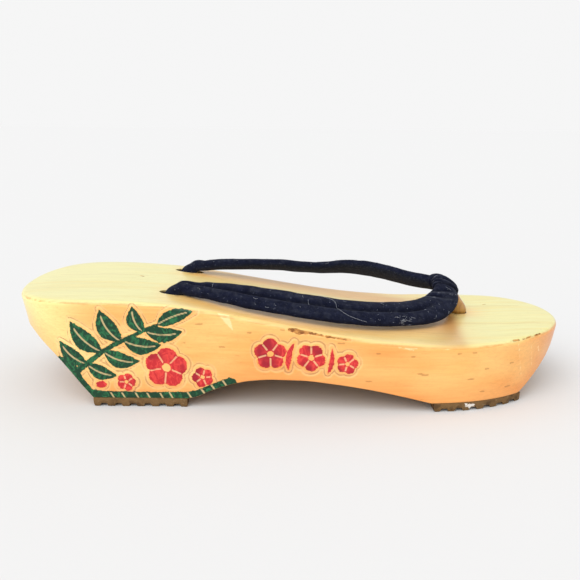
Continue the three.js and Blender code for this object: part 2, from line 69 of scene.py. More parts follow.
def readRows(rows, column, along):
    # Value of a table's column at a share of the way: a cubic between the rows, with each tangent
    # the harmonic mean of the slopes beside it, so that it never overshoots
    places = np.array([row[0] for row in rows], float)
    values = np.array([row[column] for row in rows], float)
    slopes = np.diff(values) / np.diff(places)
    before, after = slopes[:-1], slopes[1:]
    steady = before * after > 0
    inner = np.where(steady, 2 * before * after / np.where(steady, before + after, 1), 0)
    tangents = np.concatenate([slopes[:1], inner, slopes[-1:]])
    k = np.clip(np.searchsorted(places, along, side="right") - 1, 0, len(slopes) - 1)
    span = places[k + 1] - places[k]
    t = np.clip((along - places[k]) / span, 0, 1)
    t2, t3 = t * t, t * t * t
    return ((2 * t3 - 3 * t2 + 1) * values[k] + (t3 - 2 * t2 + t) * span * tangents[k]
            + (3 * t2 - 2 * t3) * values[k + 1] + (t3 - t2) * span * tangents[k + 1])


def softNoise(points, size, seed):
    # Value noise from -1 to 1: random numbers on a cubic lattice, blended smoothly between corners
    table = np.random.default_rng(seed).uniform(-1, 1, 4096)
    place = points / size
    cell = np.floor(place).astype(np.int64)
    share = place - cell
    share = share * share * (3 - 2 * share)
    total = np.zeros(points.shape[:-1])
    for corner in np.ndindex(2, 2, 2):
        at = cell + np.array(corner)
        key = (at[..., 0] * 73856093 ^ at[..., 1] * 19349663 ^ at[..., 2] * 83492791) & 4095
        weight = np.where(np.array(corner) == 1, share, 1 - share).prod(axis=-1)
        total += table[key] * weight
    return total


# Meshes from arrays


def gridFaces(rows, columns):
    # Quads of a grid of points kept row by row, whose last column joins the first
    r, c = np.meshgrid(np.arange(rows - 1), np.arange(columns), indexing="ij")
    after = (c + 1) % columns
    low, high = r * columns, (r + 1) * columns
    return np.stack([low + c, high + c, high + after, low + after], -1).reshape(-1, 4)


def closedFaces(rows, columns):
    # Quads of a grid whose last row joins the first as well
    first = np.arange(columns)
    last = (rows - 1) * columns + first
    closing = np.stack([last, first, np.roll(first, -1), np.roll(last, -1)], -1)
    return np.concatenate([gridFaces(rows, columns), closing])


def fanFaces(ring, centre):
    # Triangles from a closed ring of point numbers to one point
    return np.stack([ring, np.roll(ring, -1), np.full(len(ring), centre)], -1)


def endFans(rows, sides):
    # Triangles from the first and the last ring to the two points that follow the rings
    first = np.arange(sides)
    last = first + (rows - 1) * sides
    count = rows * sides
    return np.concatenate([fanFaces(first, count), fanFaces(last, count + 1)[:, ::-1]])


def makePiece(name, points, quads, triangles=None, sharp=None):
    # Mesh object from points in millimetres in the sole's own frame, moved to the shared frame
    triangles = np.zeros((0, 3), int) if triangles is None else triangles
    corners = np.concatenate([quads.ravel(), triangles.ravel()]).astype(np.int32)
    sizes = np.concatenate([np.full(len(quads), 4), np.full(len(triangles), 3)])
    starts = (np.cumsum(sizes) - sizes).astype(np.int32)
    mesh = bpy.data.meshes.new(name)
    mesh.vertices.add(len(points))
    mesh.vertices.foreach_set("co", ((points + tipShift) * mm).astype(np.float32).ravel())
    mesh.loops.add(len(corners))
    mesh.loops.foreach_set("vertex_index", corners)
    mesh.polygons.add(len(sizes))
    mesh.polygons.foreach_set("loop_start", starts)
    mesh.update(calc_edges=True)
    mesh.validate()
    shadeMesh(mesh, sharp)
    piece = bpy.data.objects.new(name, mesh)
    bpy.context.scene.collection.objects.link(piece)
    return piece


def shadeMesh(mesh, sharp):
    # Smooth shading, broken at edges that turn by more than an angle in degrees
    mesh.shade_smooth()
    if sharp:
        mesh.set_sharp_from_angle(angle=math.radians(sharp))


def meshPoints(mesh):
    # Points of a finished mesh, back in millimetres in the sole's own frame
    points = np.empty(len(mesh.vertices) * 3, np.float32)
    mesh.vertices.foreach_get("co", points)
    return points.reshape(-1, 3).astype(float) / mm - tipShift


def setField(mesh, name, values):
    # Keeps one number for each point as a named attribute
    data = mesh.attributes.new(name, "FLOAT", "POINT").data
    data.foreach_set("value", np.asarray(values, np.float32).ravel())


def joinParts(parts):
    # One set of points, quads and triangles from several
    points, quads, triangles, count = [], [], [], 0
    for somePoints, someQuads, someTriangles in parts:
        points.append(somePoints)
        quads.append(someQuads + count)
        triangles.append(someTriangles + count)
        count += len(somePoints)
    return np.concatenate(points), np.concatenate(quads), np.concatenate(triangles)


def finishPiece(piece, material, node):
    # Material, body, slot and CAD node of a piece
    piece.data.materials.append(material)
    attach(piece, "root")
    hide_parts(node)
    print("made", piece.name, "with", sum(len(p.vertices) - 2 for p in piece.data.polygons), "triangles")


# Camera at the photograph's angle

photoView = {
    "focalPixels": 700.0, "framePixels": 580, "sensor": 36.0,
    "place": (-16.62, -306.90, 111.95), "pitch": 13.0597, "yaw": -2.5960, "roll": 0.5411,
}


def makeCamera():
    # The view's axes are turned by yaw, then pitch, then roll, and the lens is the focal length in
    # pixels as a share of the picture's width, times the sensor
    pitch, yaw, roll = (math.radians(photoView[k]) for k in ("pitch", "yaw", "roll"))
    level = Vector((math.cos(yaw), math.sin(yaw), 0))
    ahead = Vector((-math.sin(yaw) * math.cos(pitch), math.cos(yaw) * math.cos(pitch), -math.sin(pitch)))
    rise = level.cross(ahead)
    right = math.cos(roll) * level + math.sin(roll) * rise
    up = math.cos(roll) * rise - math.sin(roll) * level
    data = bpy.data.cameras.new("photoCamera")
    data.sensor_width = photoView["sensor"]
    data.lens = photoView["sensor"] * photoView["focalPixels"] / photoView["framePixels"]
    data.clip_start, data.clip_end = 0.01, 200
    camera = bpy.data.objects.new("photoCamera", data)
    turn = Matrix((right, up, -ahead)).transposed().to_4x4()
    camera.matrix_world = Matrix.Translation(Vector(photoView["place"]) * mm) @ turn
    bpy.context.scene.collection.objects.link(camera)
    bpy.context.scene.camera = camera


# Form of the sole

soleLow, soleHigh = frameBox("sole")
soleLength = soleHigh[0] - soleLow[0]
treadTop = soleLow[2]
sole = {
    "heelWidth": 83.2, "waistWidth": 80.8, "ballWidth": 90.4,
    "outerBow": 8.6, "bowLean": 1.285, "bowFullness": 0.85,
    "heelRound": 30.0, "toeRound": 60.0, "heelSquareness": 2.25, "toeSquareness": 2.07,
    "heelHeight": 45.1, "ballHeight": 28.4, "heelWall": 12.6, "toeWall": 8.4, "archRise": 9.4,
    "deckEdge": 2.0, "lowerEdge": 0.45, "sideTaper": 3.4, "endTaper": 11.0, "below": 2.0,
}
tread = {
    "heelStart": 35.7, "heelLength": 38.3, "toeSetback": 27.4, "foreLength": 39.6,
    "foreShift": 1.2, "ribPitch": 6.2, "ribFoot": 2.4, "grooveDepth": 1.2, "grooveTop": 0.6,
    "rearEase": 1.3, "step": 0.22,
}
hole = {
    "rearSetback": 68.2, "rearSpread": 47.0, "axisOffset": -0.7, "rearLength": 12.8, "rearWidth": 7.2,
    "rearRun": 14.0, "innerShift": 1.6, "toeLip": 0.1, "toeSetback": 44.6, "bore": 7.0, "lip": 0.45,
    "throatShare": 0.35, "recess": 13.0, "recessDepth": 6.5, "postClearance": 0.12,
}
heelTreadEnd = tread["heelStart"] + tread["heelLength"]
foreEnd = soleLength - tread["toeSetback"]
foreStart = foreEnd - tread["foreLength"]
ballX = soleLength - sole["toeRound"]
toeHoleX = soleLength - hole["toeSetback"]

# Share of the way from heel to toe; deck height as a share of heel height over ball height
deckRows = [
    (0.0, 0.92), (0.06, 0.98), (0.15, 1.0), (0.25, 0.95), (0.34, 0.8), (0.42, 0.61), (0.5, 0.405),
    (0.58, 0.215), (0.66, 0.08), (0.75, 0.0), (0.85, 0.01), (0.94, 0.05), (1.0, 0.035),
]
# Share of the way along each cut under the sole; height as a share of the cut's rise
heelCutRows = [(0.0, 1.0), (0.2, 0.955), (0.38, 0.82), (0.55, 0.66), (0.72, 0.44), (0.87, 0.2), (1.0, 0.0)]
archRows = [
    (0.0, 0.0), (0.04, 0.1), (0.1, 0.4), (0.18, 0.71), (0.26, 0.91), (0.36, 1.0), (0.46, 1.0),
    (0.6, 0.87), (0.75, 0.63), (0.88, 0.33), (1.0, 0.0),
]
toeCutRows = [
    (0.0, 0.0), (0.15, 0.15), (0.3, 0.33), (0.45, 0.5), (0.6, 0.68), (0.72, 0.85), (0.85, 0.96), (1.0, 1.0),
]


def deckHeight(x):
    # Ball height plus the table's share of what the heel is higher
    extra = sole["heelHeight"] - sole["ballHeight"]
    return sole["ballHeight"] + extra * readRows(deckRows, 1, x / soleLength)


heelCutTop = float(deckHeight(0.0)) - sole["heelWall"]
toeCutTop = float(deckHeight(soleLength)) - sole["toeWall"]
heelCutStart = sole["heelWall"] * math.tan(math.radians(sole["endTaper"]))
toeCutEnd = soleLength - sole["toeWall"] * math.tan(math.radians(sole["endTaper"]))


def underHeight(x):
    # Underside of the wood: slanted cut under the heel, arch, and rising cut under the toe
    heel = readRows(heelCutRows, 1, (x - heelCutStart) / (tread["heelStart"] - heelCutStart))
    arch = readRows(archRows, 1, (x - heelTreadEnd) / (foreStart - heelTreadEnd))
    toe = readRows(toeCutRows, 1, (x - foreEnd) / (toeCutEnd - foreEnd))
    rise = np.where(x < tread["heelStart"], (heelCutTop - treadTop) * heel,
                    np.where(x < foreStart, sole["archRise"] * arch, (toeCutTop - treadTop) * toe))
    return treadTop + rise


def halfWidth(x):
    # Superellipses round off the ends, and a cosine eases heel to waist and waist to ball
    heelShare = np.clip(1 - x / sole["heelRound"], 0, 1)
    toeShare = np.clip((x - ballX) / sole["toeRound"], 0, 1)
    heelPower, toePower = sole["heelSquareness"], sole["toeSquareness"]
    toWaist = ease(np.clip((x - sole["heelRound"]) / (heelTreadEnd - sole["heelRound"]), 0, 1))
    toBall = ease(np.clip((x - heelTreadEnd) / (ballX - heelTreadEnd), 0, 1))
    width = sole["heelWidth"] + (sole["waistWidth"] - sole["heelWidth"]) * toWaist
    width = width + (sole["ballWidth"] - sole["waistWidth"]) * toBall
    heelEnd = (1 - heelShare ** heelPower) ** (1 / heelPower)
    toeEnd = (1 - toeShare ** toePower) ** (1 / toePower)
    return width / 2 * heelEnd * toeEnd


def middleLine(x):
    # Bow to the outer side: a sine over the length, with the place and the sine each to a power
    share = np.clip(x / soleLength, 0, 1) ** sole["bowLean"]
    return -sole["outerBow"] * np.clip(np.sin(np.pi * share), 0, 1) ** sole["bowFullness"]


def soleStations(heelSteps, paintedSteps, plainSteps, toeSteps):
    # Places along the sole: close together at the round ends and along the painted stretch
    heel = sole["heelRound"] * (1 - np.cos(np.pi / 2 * np.arange(heelSteps) / heelSteps)
                                ** (2 / sole["heelSquareness"]))
    paintedEnd = 143.0
    painted = np.linspace(sole["heelRound"], paintedEnd, paintedSteps, endpoint=False)
    plain = np.linspace(paintedEnd, ballX, plainSteps, endpoint=False)
    toe = ballX + sole["toeRound"] * np.sin(np.pi / 2 * np.arange(toeSteps + 1) / toeSteps) ** (
        2 / sole["toeSquareness"])
    return np.concatenate([heel, painted, plain, toe])


def soleRing(stations):
    # Outline as one ring, heel tip, outer side, toe tip, inner side, with its outward normals
    x = np.concatenate([stations, stations[-2:0:-1]])
    side = np.where(np.arange(len(x)) < len(stations), -1, 1)
    ring = np.stack([x, middleLine(x) + side * halfWidth(x)], -1)
    step = np.roll(ring, -1, 0) - np.roll(ring, 1, 0)
    normal = np.stack([step[:, 1], -step[:, 0]], -1)
    return ring, normal / np.linalg.norm(normal, axis=1, keepdims=True)


outlineRing = soleRing(soleStations(10, 15, 5, 14))[0]
outlineMiddle = (outlineRing[:, 1].min() + outlineRing[:, 1].max()) / 2
tipShift = np.array([soleLow[0], -outlineMiddle, 0])


def wallLine(ring, normal):
    # Top and foot of the leaning wall under each point of the outline
    deck = deckHeight(ring[:, 0])
    taper = sole["sideTaper"] + (sole["endTaper"] - sole["sideTaper"]) * normal[:, 0] ** 2
    inset = (deck + sole["below"]) * np.tan(np.radians(taper))
    top = np.column_stack([ring, deck - sole["deckEdge"]])
    foot = np.column_stack([ring - normal * inset[:, None], np.full(len(ring), -sole["below"])])
    return top, foot


def wallSides(x, z):
    # y of the outer and the inner wall at places along the sole, at one height
    ring, normal = soleRing(soleStations(40, 60, 20, 60))
    top, foot = wallLine(ring, normal)
    share = (top[:, 2] - z) / (top[:, 2] - foot[:, 2])
    line = top + share[:, None] * (foot - top)
    half = len(ring) // 2 + 1
    outer, inner = line[:half], np.concatenate([line[:1], line[:half - 2:-1]])
    return np.interp(x, outer[:, 0], outer[:, 1]), np.interp(x, inner[:, 0], inner[:, 1])


# Form of the straps

strap = {
    "width": 14.6, "thickness": 5.0, "channel": 1.5, "channelShare": 0.075, "liningShare": 0.84,
    "tail": 5.2, "rootDepths": (8.0, 5.0, 2.2), "junctionGap": 8.6, "squareness": 2.5,
    "seatGap": 0.3, "knotWidth": 11.0, "knotHeight": 6.0, "steps": 540, "sides": 112,
    "channelFade": (17.0, 34.0), "bendSide": 1,
    "rootShifts": (-1.0, -1.5, -1.7), "rootSizes": ((6.2, 6.2), (6.4, 7.2), (6.8, 8.6)),
}
loop = {
    "length": 12.2, "shift": 0.5, "wall": 1.3, "seat": 0.15, "bulge": 0.4, "toeNarrowing": 0.6,
    "steps": 48, "sides": 200,
}
post = {
    "diameter": 6.9, "wall": 0.9, "seat": 4.0, "shift": 2.4, "cordClearance": 0.3, "freeReach": 7.0,
    "uprightBend": 1.4, "bendHeight": 5.0, "footTuck": 0.13, "straightDepth": 3.5, "sides": 72,
}

# along (share of the way from rear holes to toe post), side (share of half the rear spread),
# gap (underside over the deck, share of the junction's), width and depth (shares of the full
# strap's), tilt (degrees that the inner edge is raised)
innerStrapRows = [
    (0.032, 0.99, -0.03, 0.52, 1.14, 6), (0.075, 1.0, 0.09, 0.57, 1.1, 12), (0.13, 1.02, 0.22, 0.64, 1.08, 18),
    (0.2, 1.07, 0.33, 0.75, 1.06, 20), (0.28, 1.12, 0.46, 0.88, 1.04, 21), (0.36, 1.16, 0.6, 0.96, 1.02, 21),
    (0.44, 1.18, 0.68, 0.99, 1.0, 21), (0.53, 1.17, 0.84, 1.0, 1.0, 24), (0.62, 1.11, 1.06, 1.0, 1.0, 30),
    (0.7, 0.98, 1.1, 1.0, 1.0, 34), (0.78, 0.76, 1.04, 0.97, 1.0, 36), (0.85, 0.51, 0.97, 0.9, 1.0, 36),
    (0.91, 0.28, 0.96, 0.84, 1.02, 35),
]
junctionRow = (0.951, 0.04, 0.93, 0.8, 1.06, 34)
outerStrapRows = [
    (0.018, 1.03, -0.04, 0.52, 1.12, 6), (0.06, 1.1, 0.0, 0.6, 1.08, 11), (0.105, 1.19, 0.05, 0.7, 1.06, 17),
    (0.18, 1.34, 0.1, 0.82, 1.04, 22), (0.26, 1.44, 0.12, 0.92, 1.0, 24), (0.34, 1.49, 0.14, 0.97, 1.0, 25),
    (0.42, 1.5, 0.15, 0.98, 1.0, 26), (0.52, 1.46, 0.14, 1.0, 1.0, 26), (0.62, 1.36, 0.12, 1.0, 1.0, 26),
    (0.71, 1.22, 0.12, 1.0, 1.0, 26), (0.795, 1.02, 0.12, 1.0, 1.0, 27), (0.862, 0.8, 0.18, 0.97, 1.0, 29),
    (0.909, 0.56, 0.36, 0.92, 1.0, 31), (0.943, 0.31, 0.68, 0.86, 1.02, 33),
]


def unit(vectors):
    # Vectors divided by their lengths
    return vectors / np.linalg.norm(vectors, axis=-1, keepdims=True)


def rearHole(side):
    # Mouth on the deck, outlet in the arch, and the axis down from one to the other
    y = hole["axisOffset"] + side * hole["rearSpread"] / 2
    mouthX = hole["rearSetback"] + (hole["innerShift"] if side > 0 else 0)
    outletX = hole["rearSetback"] + hole["rearRun"]
    mouth = np.array([mouthX, y, float(deckHeight(mouthX))])
    outlet = np.array([outletX, y, float(underHeight(outletX))])
    return mouth, outlet, unit(outlet - mouth)


def strapSections():
    # Centre, width, depth and tilt of every section, from the inner root to the outer root
    def fromRow(row, side):
        # A table's row in millimetres: the centre is half the tilted section above its underside
        along, sideShare, gap, width, depth, tilt = row
        x = hole["rearSetback"] + along * (toeHoleX - hole["rearSetback"])
        width, depth = width * strap["width"], depth * strap["thickness"]
        drop = depth / 2 + max(width - depth, 0) / 2 * math.sin(math.radians(tilt))
        y = hole["axisOffset"] + side * sideShare * hole["rearSpread"] / 2
        return [x, y, float(deckHeight(x)) + gap * strap["junctionGap"] + drop, width, depth, tilt]

    def roots(side):
        # Sections down in the hole, on its axis and shifted along the sole
        mouth, _, axis = rearHole(side)
        rows = zip(strap["rootDepths"], strap["rootShifts"], strap["rootSizes"])
        return [[*(mouth - axis * depth / axis[2] + [shift, 0, 0]), *size, 0] for depth, shift, size in rows]

    return np.array([
        *roots(1), *(fromRow(row, 1) for row in innerStrapRows), fromRow(junctionRow, 1),
        *(fromRow(row, -1) for row in outerStrapRows[::-1]), *roots(-1)[::-1],
    ])


sections = strapSections()
lastSection = len(sections) - 1
junctionT = (len(strap["rootDepths"]) + len(innerStrapRows)) / lastSection


def strapLine(t):
    # Centripetal Catmull-Rom curve through the sections' centres
    centres = sections[:, :3]
    before, after = 2 * centres[0] - centres[1], 2 * centres[-1] - centres[-2]
    knots = np.vstack([before, centres, after])
    place = np.clip(t, 0, 1) * lastSection
    k = np.minimum(place.astype(int), lastSection - 1)
    w = (place - k)[..., None]
    p0, p1, p2, p3 = (knots[k + step] for step in range(4))
    pairs = ((p0, p1), (p1, p2), (p2, p3))
    d0, d1, d2 = (np.sqrt(np.linalg.norm(b - a, axis=-1))[..., None] for a, b in pairs)
    m1 = ((p1 - p0) / d0 - (p2 - p0) / (d0 + d1) + (p2 - p1) / d1) * d1
    m2 = ((p2 - p1) / d1 - (p3 - p1) / (d1 + d2) + (p3 - p2) / d2) * d1
    return (p1 + m1 * w + (3 * (p2 - p1) - 2 * m1 - m2) * w ** 2 + (2 * (p1 - p2) + m1 + m2) * w ** 3)


def strapFrame(t):
    # Centre of the strap at t, its directions across and out of its face, and its size there
    place = np.clip(t, 0, 1) * lastSection
    k = np.minimum(place.astype(int), lastSection - 1)
    blend = ease(place - k)[..., None]
    width, depth, tilt = np.moveaxis(sections[k, 3:] * (1 - blend) + sections[k + 1, 3:] * blend, -1, 0)
    reach = 1 / lastSection
    rootEnd = len(strap["rootDepths"]) * reach
    flatT = np.clip(t, rootEnd, 1 - rootEnd)
    heading = strapLine(flatT + reach) - strapLine(flatT - reach)
    outward = unit(np.stack([-heading[..., 1], heading[..., 0], 0 * heading[..., 0]], -1))
    tangent = unit(strapLine(t + 1e-4) - strapLine(t - 1e-4))
    up = unit(np.cross(tangent, outward))
    lean = np.radians(tilt)[..., None]
    across = outward * np.cos(lean) - up * np.sin(lean)
    normal = up * np.cos(lean) + outward * np.sin(lean)
    return strapLine(t), across, normal, width, depth


def bandShare(width, depth):
    # 0 for a round section, rising to 1 for one that is two and a half times as wide as deep
    return np.clip((width / depth - 1) / 1.5, 0, 1)


def sectionCurve(values, fullBand):
    # Cosines or sines to the power of the section's superellipse, with their sign kept
    return np.sign(values) * np.abs(values) ** (2 / (2 + (strap["squareness"] - 2) * fullBand))


def strapSection(t, angle, margin, detail=None, proud=0.0):
    # Points of the section at each t and angle, grown by a margin: a superellipse, or with detail
    # (the share of the channel's depth) two padded rolls over a lining with a bell-shaped channel
    centre, across, normal, width, depth = (np.expand_dims(part, 1) for part in strapFrame(t))
    fullBand = bandShare(width, depth)
    angle = np.atleast_2d(angle)
    u = (width / 2 + margin) * sectionCurve(np.cos(angle), fullBand)
    v = (depth / 2 + margin) * sectionCurve(np.sin(angle), fullBand)
    if detail is not None:
        v = np.where(v < 0, v * (1 - (1 - strap["liningShare"]) * fullBand), v)
        bell = np.exp(-((u / (strap["channelShare"] * width)) ** 2))
        v = np.where(v > 0, v - np.asarray(detail) * strap["channel"] * fullBand * bell, v)
        out = unit(np.stack([u / (width / 2) ** 2, v / (depth / 2) ** 2], -1) + 1e-9)
        u = u + out[..., 0] * proud
        v = v + out[..., 1] * proud
    return centre + across * u[..., None] + normal * v[..., None]


def channelShare(t):
    # The channel between the rolls fades out towards the toe loop
    steps = np.linspace(0, 1, 3001)
    lengths = lineLengths(steps)
    reach = np.abs(np.interp(t, steps, lengths) - np.interp(junctionT, steps, lengths))
    return smooth(*strap["channelFade"], reach)


def lineLengths(t):
    # Length along the strap line from its start to each t
    steps = np.linalg.norm(np.diff(strapLine(t), axis=0), axis=1)
    return np.concatenate([[0], np.cumsum(steps)])


def tAtDistance(distance):
    # t at each distance along the line from the junction
    t = np.linspace(0, 1, 6001)
    lengths = lineLengths(t)
    return np.interp(np.interp(junctionT, t, lengths) + distance, lengths, t)


junctionPoint = strapLine(np.array([junctionT]))[0]
postFoot = np.array([toeHoleX + post["shift"], 0, float(deckHeight(toeHoleX + post["shift"]))])
postAxis = unit((junctionPoint - postFoot) * [1, 0, 1])
toeKnotZ = treadTop + strap["seatGap"] + strap["knotHeight"] / 2
toeKnot = postFoot + postAxis * (toeKnotZ - postFoot[2]) / postAxis[2]


def aroundAxis(axis):
    # Two directions square to an axis
    side = unit(np.cross(axis, [0, 1, 0]))
    return side, np.cross(axis, side)


def tubePart(centres, radii, sides):
    # Closed round tube through centres with a radius at each, capped by a point at both ends
    centres = np.asarray(centres, float)
    tangent = unit(np.gradient(centres, axis=0))
    across = unit(np.cross(tangent, [0.0, 1.0, 0.0]))
    along = np.cross(tangent, across)
    angle = np.linspace(0, 2 * np.pi, sides, endpoint=False)[None, :, None]
    spokes = across[:, None] * np.cos(angle) + along[:, None] * np.sin(angle)
    ring = centres[:, None] + np.asarray(radii, float)[:, None, None] * spokes
    points = np.concatenate([ring.reshape(-1, 3), centres[:1], centres[-1:]])
    return points, gridFaces(len(centres), sides), endFans(len(centres), sides)


def knotPart(centre, axis, turns=3, sides=72, rows=36):
    # Squashed ball with slanting troughs, as a knot whose strands wind round it
    side, other = aroundAxis(axis)
    lat = np.linspace(-np.pi / 2, np.pi / 2, rows)[1:-1, None]
    lon = np.linspace(0, 2 * np.pi, sides, endpoint=False)[None]
    wind = 1 + 0.06 * np.cos(turns * lon + 3 * lat) * np.cos(lat)
    wide = strap["knotWidth"] / 2 * 0.94 * wind * np.cos(lat)
    high = strap["knotHeight"] / 2
    points = (centre + (wide * np.cos(lon))[..., None] * side + (wide * np.sin(lon))[..., None] * other
              + (high * np.sin(lat) * np.ones_like(lon))[..., None] * axis)
    poles = np.array([centre - axis * high, centre + axis * high])
    points = np.concatenate([points.reshape(-1, 3), poles])
    return points, gridFaces(rows - 2, sides), endFans(rows - 2, sides)


# Painted and carved decoration, and wear, as distances to edges in millimetres

# Leaves of the flowering branch: base x, z, tip x, z, half width, bend
branchLeaves = [
    (33.5, 18.5, 23.5, 28.0, 3.3, 0.10), (34.5, 18.0, 46.0, 13.6, 3.1, -0.10),
    (40.0, 24.0, 28.5, 36.5, 4.0, 0.10), (41.5, 23.5, 55.5, 20.0, 3.5, -0.12),
    (48.0, 28.5, 40.5, 41.6, 4.0, 0.12), (49.5, 28.5, 64.5, 27.0, 3.6, -0.10),
    (57.0, 32.5, 53.5, 43.0, 3.2, 0.12), (58.5, 32.5, 73.0, 32.8, 3.2, -0.10),
    (63.0, 35.5, 77.5, 41.2, 3.0, 0.06),
]
# Branch that carries them: start x, z, end x, z, half width at start and end
branchStrokes = [
    (26.5, 12.5, 34.0, 18.5, 1.2, 1.1), (34.0, 18.5, 41.0, 24.2, 1.1, 1.0),
    (41.0, 24.2, 49.0, 28.8, 1.0, 0.9), (49.0, 28.8, 64.0, 36.0, 0.9, 0.6),
]
# Blossoms beside the branch: x, z, radius, turn in degrees
branchBlossoms = [(66.0, 17.3, 8.6, 12), (80.6, 13.4, 4.4, 40), (49.6, 10.9, 3.9, 70)]
branchBerries = [(38.6, 9.6, 40.2, 9.9, 1.3, 1.3)]
# Row of blossoms at the middle of the side, and the slim leaves between them, in the same paint
rowBlossoms = [(107.8, 24.3, 6.5, 20), (124.0, 23.2, 5.8, 55), (138.3, 20.9, 4.3, 5)]
rowPetals = [(115.0, 17.8, 117.4, 29.6, 1.15, 0.08), (130.6, 16.4, 132.0, 27.8, 1.0, -0.08)]
# Green ground band: x, height above the lower edge
bandRows = [
    (21.5, 0.0), (24.0, 2.6), (28.0, 5.2), (30.8, 5.6), (31.8, 4.1), (36.0, 3.6), (40.0, 3.2), (58.0, 2.9),
    (75.0, 3.2), (79.0, 3.0), (85.0, 2.9), (91.0, 3.4), (93.5, 2.2), (94.6, 0.0),
]
bandCuts = [43.5, 48.0, 53.5, 58.2, 63.5, 67.5, 75.0, 80.5, 84.6, 89.4]  # slanting cuts across the band
# Patches where varnish and wood have flaked off the outer edge, as strokes
flakeStrokes = [
    (90.2, 41.9, 90.7, 41.6, 0.55, 0.4), (93.6, 41.3, 96.2, 40.5, 0.5, 0.4),
    (93.6, 40.1, 96.4, 39.7, 0.42, 0.3), (98.0, 39.9, 99.9, 39.5, 0.55, 0.35),
    (101.8, 39.0, 103.4, 38.7, 0.4, 0.25), (205.5, 28.1, 209.6, 28.1, 0.22, 0.28),
    (211.0, 28.1, 212.4, 28.2, 0.15, 0.2), (213.6, 28.2, 217.4, 28.4, 0.3, 0.15),
    (218.4, 28.3, 222.0, 28.4, 0.32, 0.15), (8.2, 30.6, 9.4, 29.0, 0.5, 0.4),
]
# Flaked line along the rim of the deck: x, depth below the deck, end x, depth, half widths
rimFlakes = [
    (115.4, 1.3, 118.0, 1.4, 0.6, 0.95), (118.8, 1.6, 122.2, 1.3, 0.95, 0.5),
    (122.0, 1.2, 128.6, 1.2, 0.45, 0.35), (129.6, 1.3, 134.4, 1.15, 0.42, 0.3),
    (135.4, 1.2, 139.6, 1.1, 0.32, 0.2),
]
# Short dark flecks of the grain on the outer wall: x, z, half length
grainFlecks = [
    (167.4, 16.9, 1.0), (164.1, 24.2, 0.7), (169.4, 16.4, 1.2), (188.6, 13.9, 1.6), (189.3, 25.2, 1.0),
    (183.0, 25.1, 0.8), (195.3, 17.8, 1.0), (206.9, 18.8, 0.8), (206.2, 8.4, 1.2), (194.1, 8.0, 1.0),
    (79.7, 36.1, 1.4), (88.6, 26.7, 1.0), (73.1, 28.0, 0.8), (147.1, 13.6, 1.1), (135.6, 29.6, 1.2),
    (112.5, 34.6, 0.7), (99.5, 33.0, 0.6), (150.5, 25.5, 0.7),
]
# Pale rubbed scratches on the outer wall
paleStrokes = [
    (88.9, 41.6, 92.9, 34.0, 2.3, 0.25), (209.4, 26.6, 212.8, 12.4, 0.25, 0.15),
    (158.2, 28.2, 164.2, 27.0, 0.3, 0.2),
    (221.0, 23.0, 222.0, 20.6, 0.3, 0.3), (160.6, 28.0, 165.4, 27.7, 0.32, 0.25),
    (168.8, 27.2, 172.0, 27.0, 0.22, 0.15), (103.0, 38.9, 112.0, 36.9, 0.3, 0.15),
    (176.0, 26.8, 179.5, 27.2, 0.2, 0.12), (216.5, 25.0, 218.6, 15.0, 0.15, 0.15),
    (101.0, 39.4, 108.0, 37.6, 0.5, 0.2),
]
# Darker grain lines on the deck: x, y, end x, y, half width
grainLines = [
    (187.7, -18.8, 226.8, -22.0, 0.14), (148.0, 3.0, 178.0, 2.0, 0.06), (12.0, 8.0, 52.0, 6.0, 0.05),
    (196.0, 10.0, 228.0, 9.0, 0.05), (158.0, -33.0, 186.0, -35.5, 0.06),
]
# Nicks and dents on the deck: x, y, end x, y, half width
deckNicks = [
    (49.0, 4.6, 50.4, 3.6, 0.32), (59.4, 36.2, 65.6, 35.8, 0.28), (183.0, 27.6, 185.0, 27.4, 0.22),
    (150.5, 10.5, 151.6, 10.7, 0.2), (17.0, 36.6, 25.0, 38.1, 0.25), (212.0, 12.0, 213.5, 12.6, 0.2),
    (96.0, -6.0, 97.0, -6.2, 0.16),
]
decoration = {
    "outline": 1.3, "outlineWander": 0.55, "grooveHalf": 0.42, "grooveDepth": 0.22, "bandSlant": 0.55,
    "flakeDepth": 0.45, "flakeRagged": 0.35, "far": 20.0,
}


def strokeEdge(u, w, stroke):
    # Distance to the edge of a round-ended stroke whose half width changes evenly along it
    u0, w0, u1, w1, half0, half1 = stroke
    along = np.array([u1 - u0, w1 - w0])
    share = np.clip(((u - u0) * along[0] + (w - w0) * along[1]) / (along @ along + 1e-9), 0, 1)
    reach = np.hypot(u - u0 - share * along[0], w - w0 - share * along[1])
    return reach - (half0 + (half1 - half0) * share)


def leafEdges(u, w, leaf):
    # Distance to a leaf's edge and to its midrib: the midrib is a bent line, and the half width
    # swells and tapers along it as a power of a sine
    u0, w0, u1, w1, half, bend = leaf
    du, dw = u1 - u0, w1 - w0
    length = math.hypot(du, dw)
    share = ((u - u0) * du + (w - w0) * dw) / length ** 2
    inside = np.clip(share, 0, 1)
    across = ((w - w0) * du - (u - u0) * dw) / length - bend * length * 4 * inside * (1 - inside)
    swell = half * np.sin(np.pi * np.clip(inside ** 0.8, 1e-6, 1 - 1e-6)) ** 0.85
    beyond = np.maximum(np.maximum(share - 1, -share), 0) * length
    edge = np.where(beyond > 0, np.hypot(across, beyond), np.abs(across) - swell)
    rib = np.where(beyond > 0, decoration["far"], np.abs(across) + 2.0 * smooth(0.8, 1.0, inside))
    return edge, rib


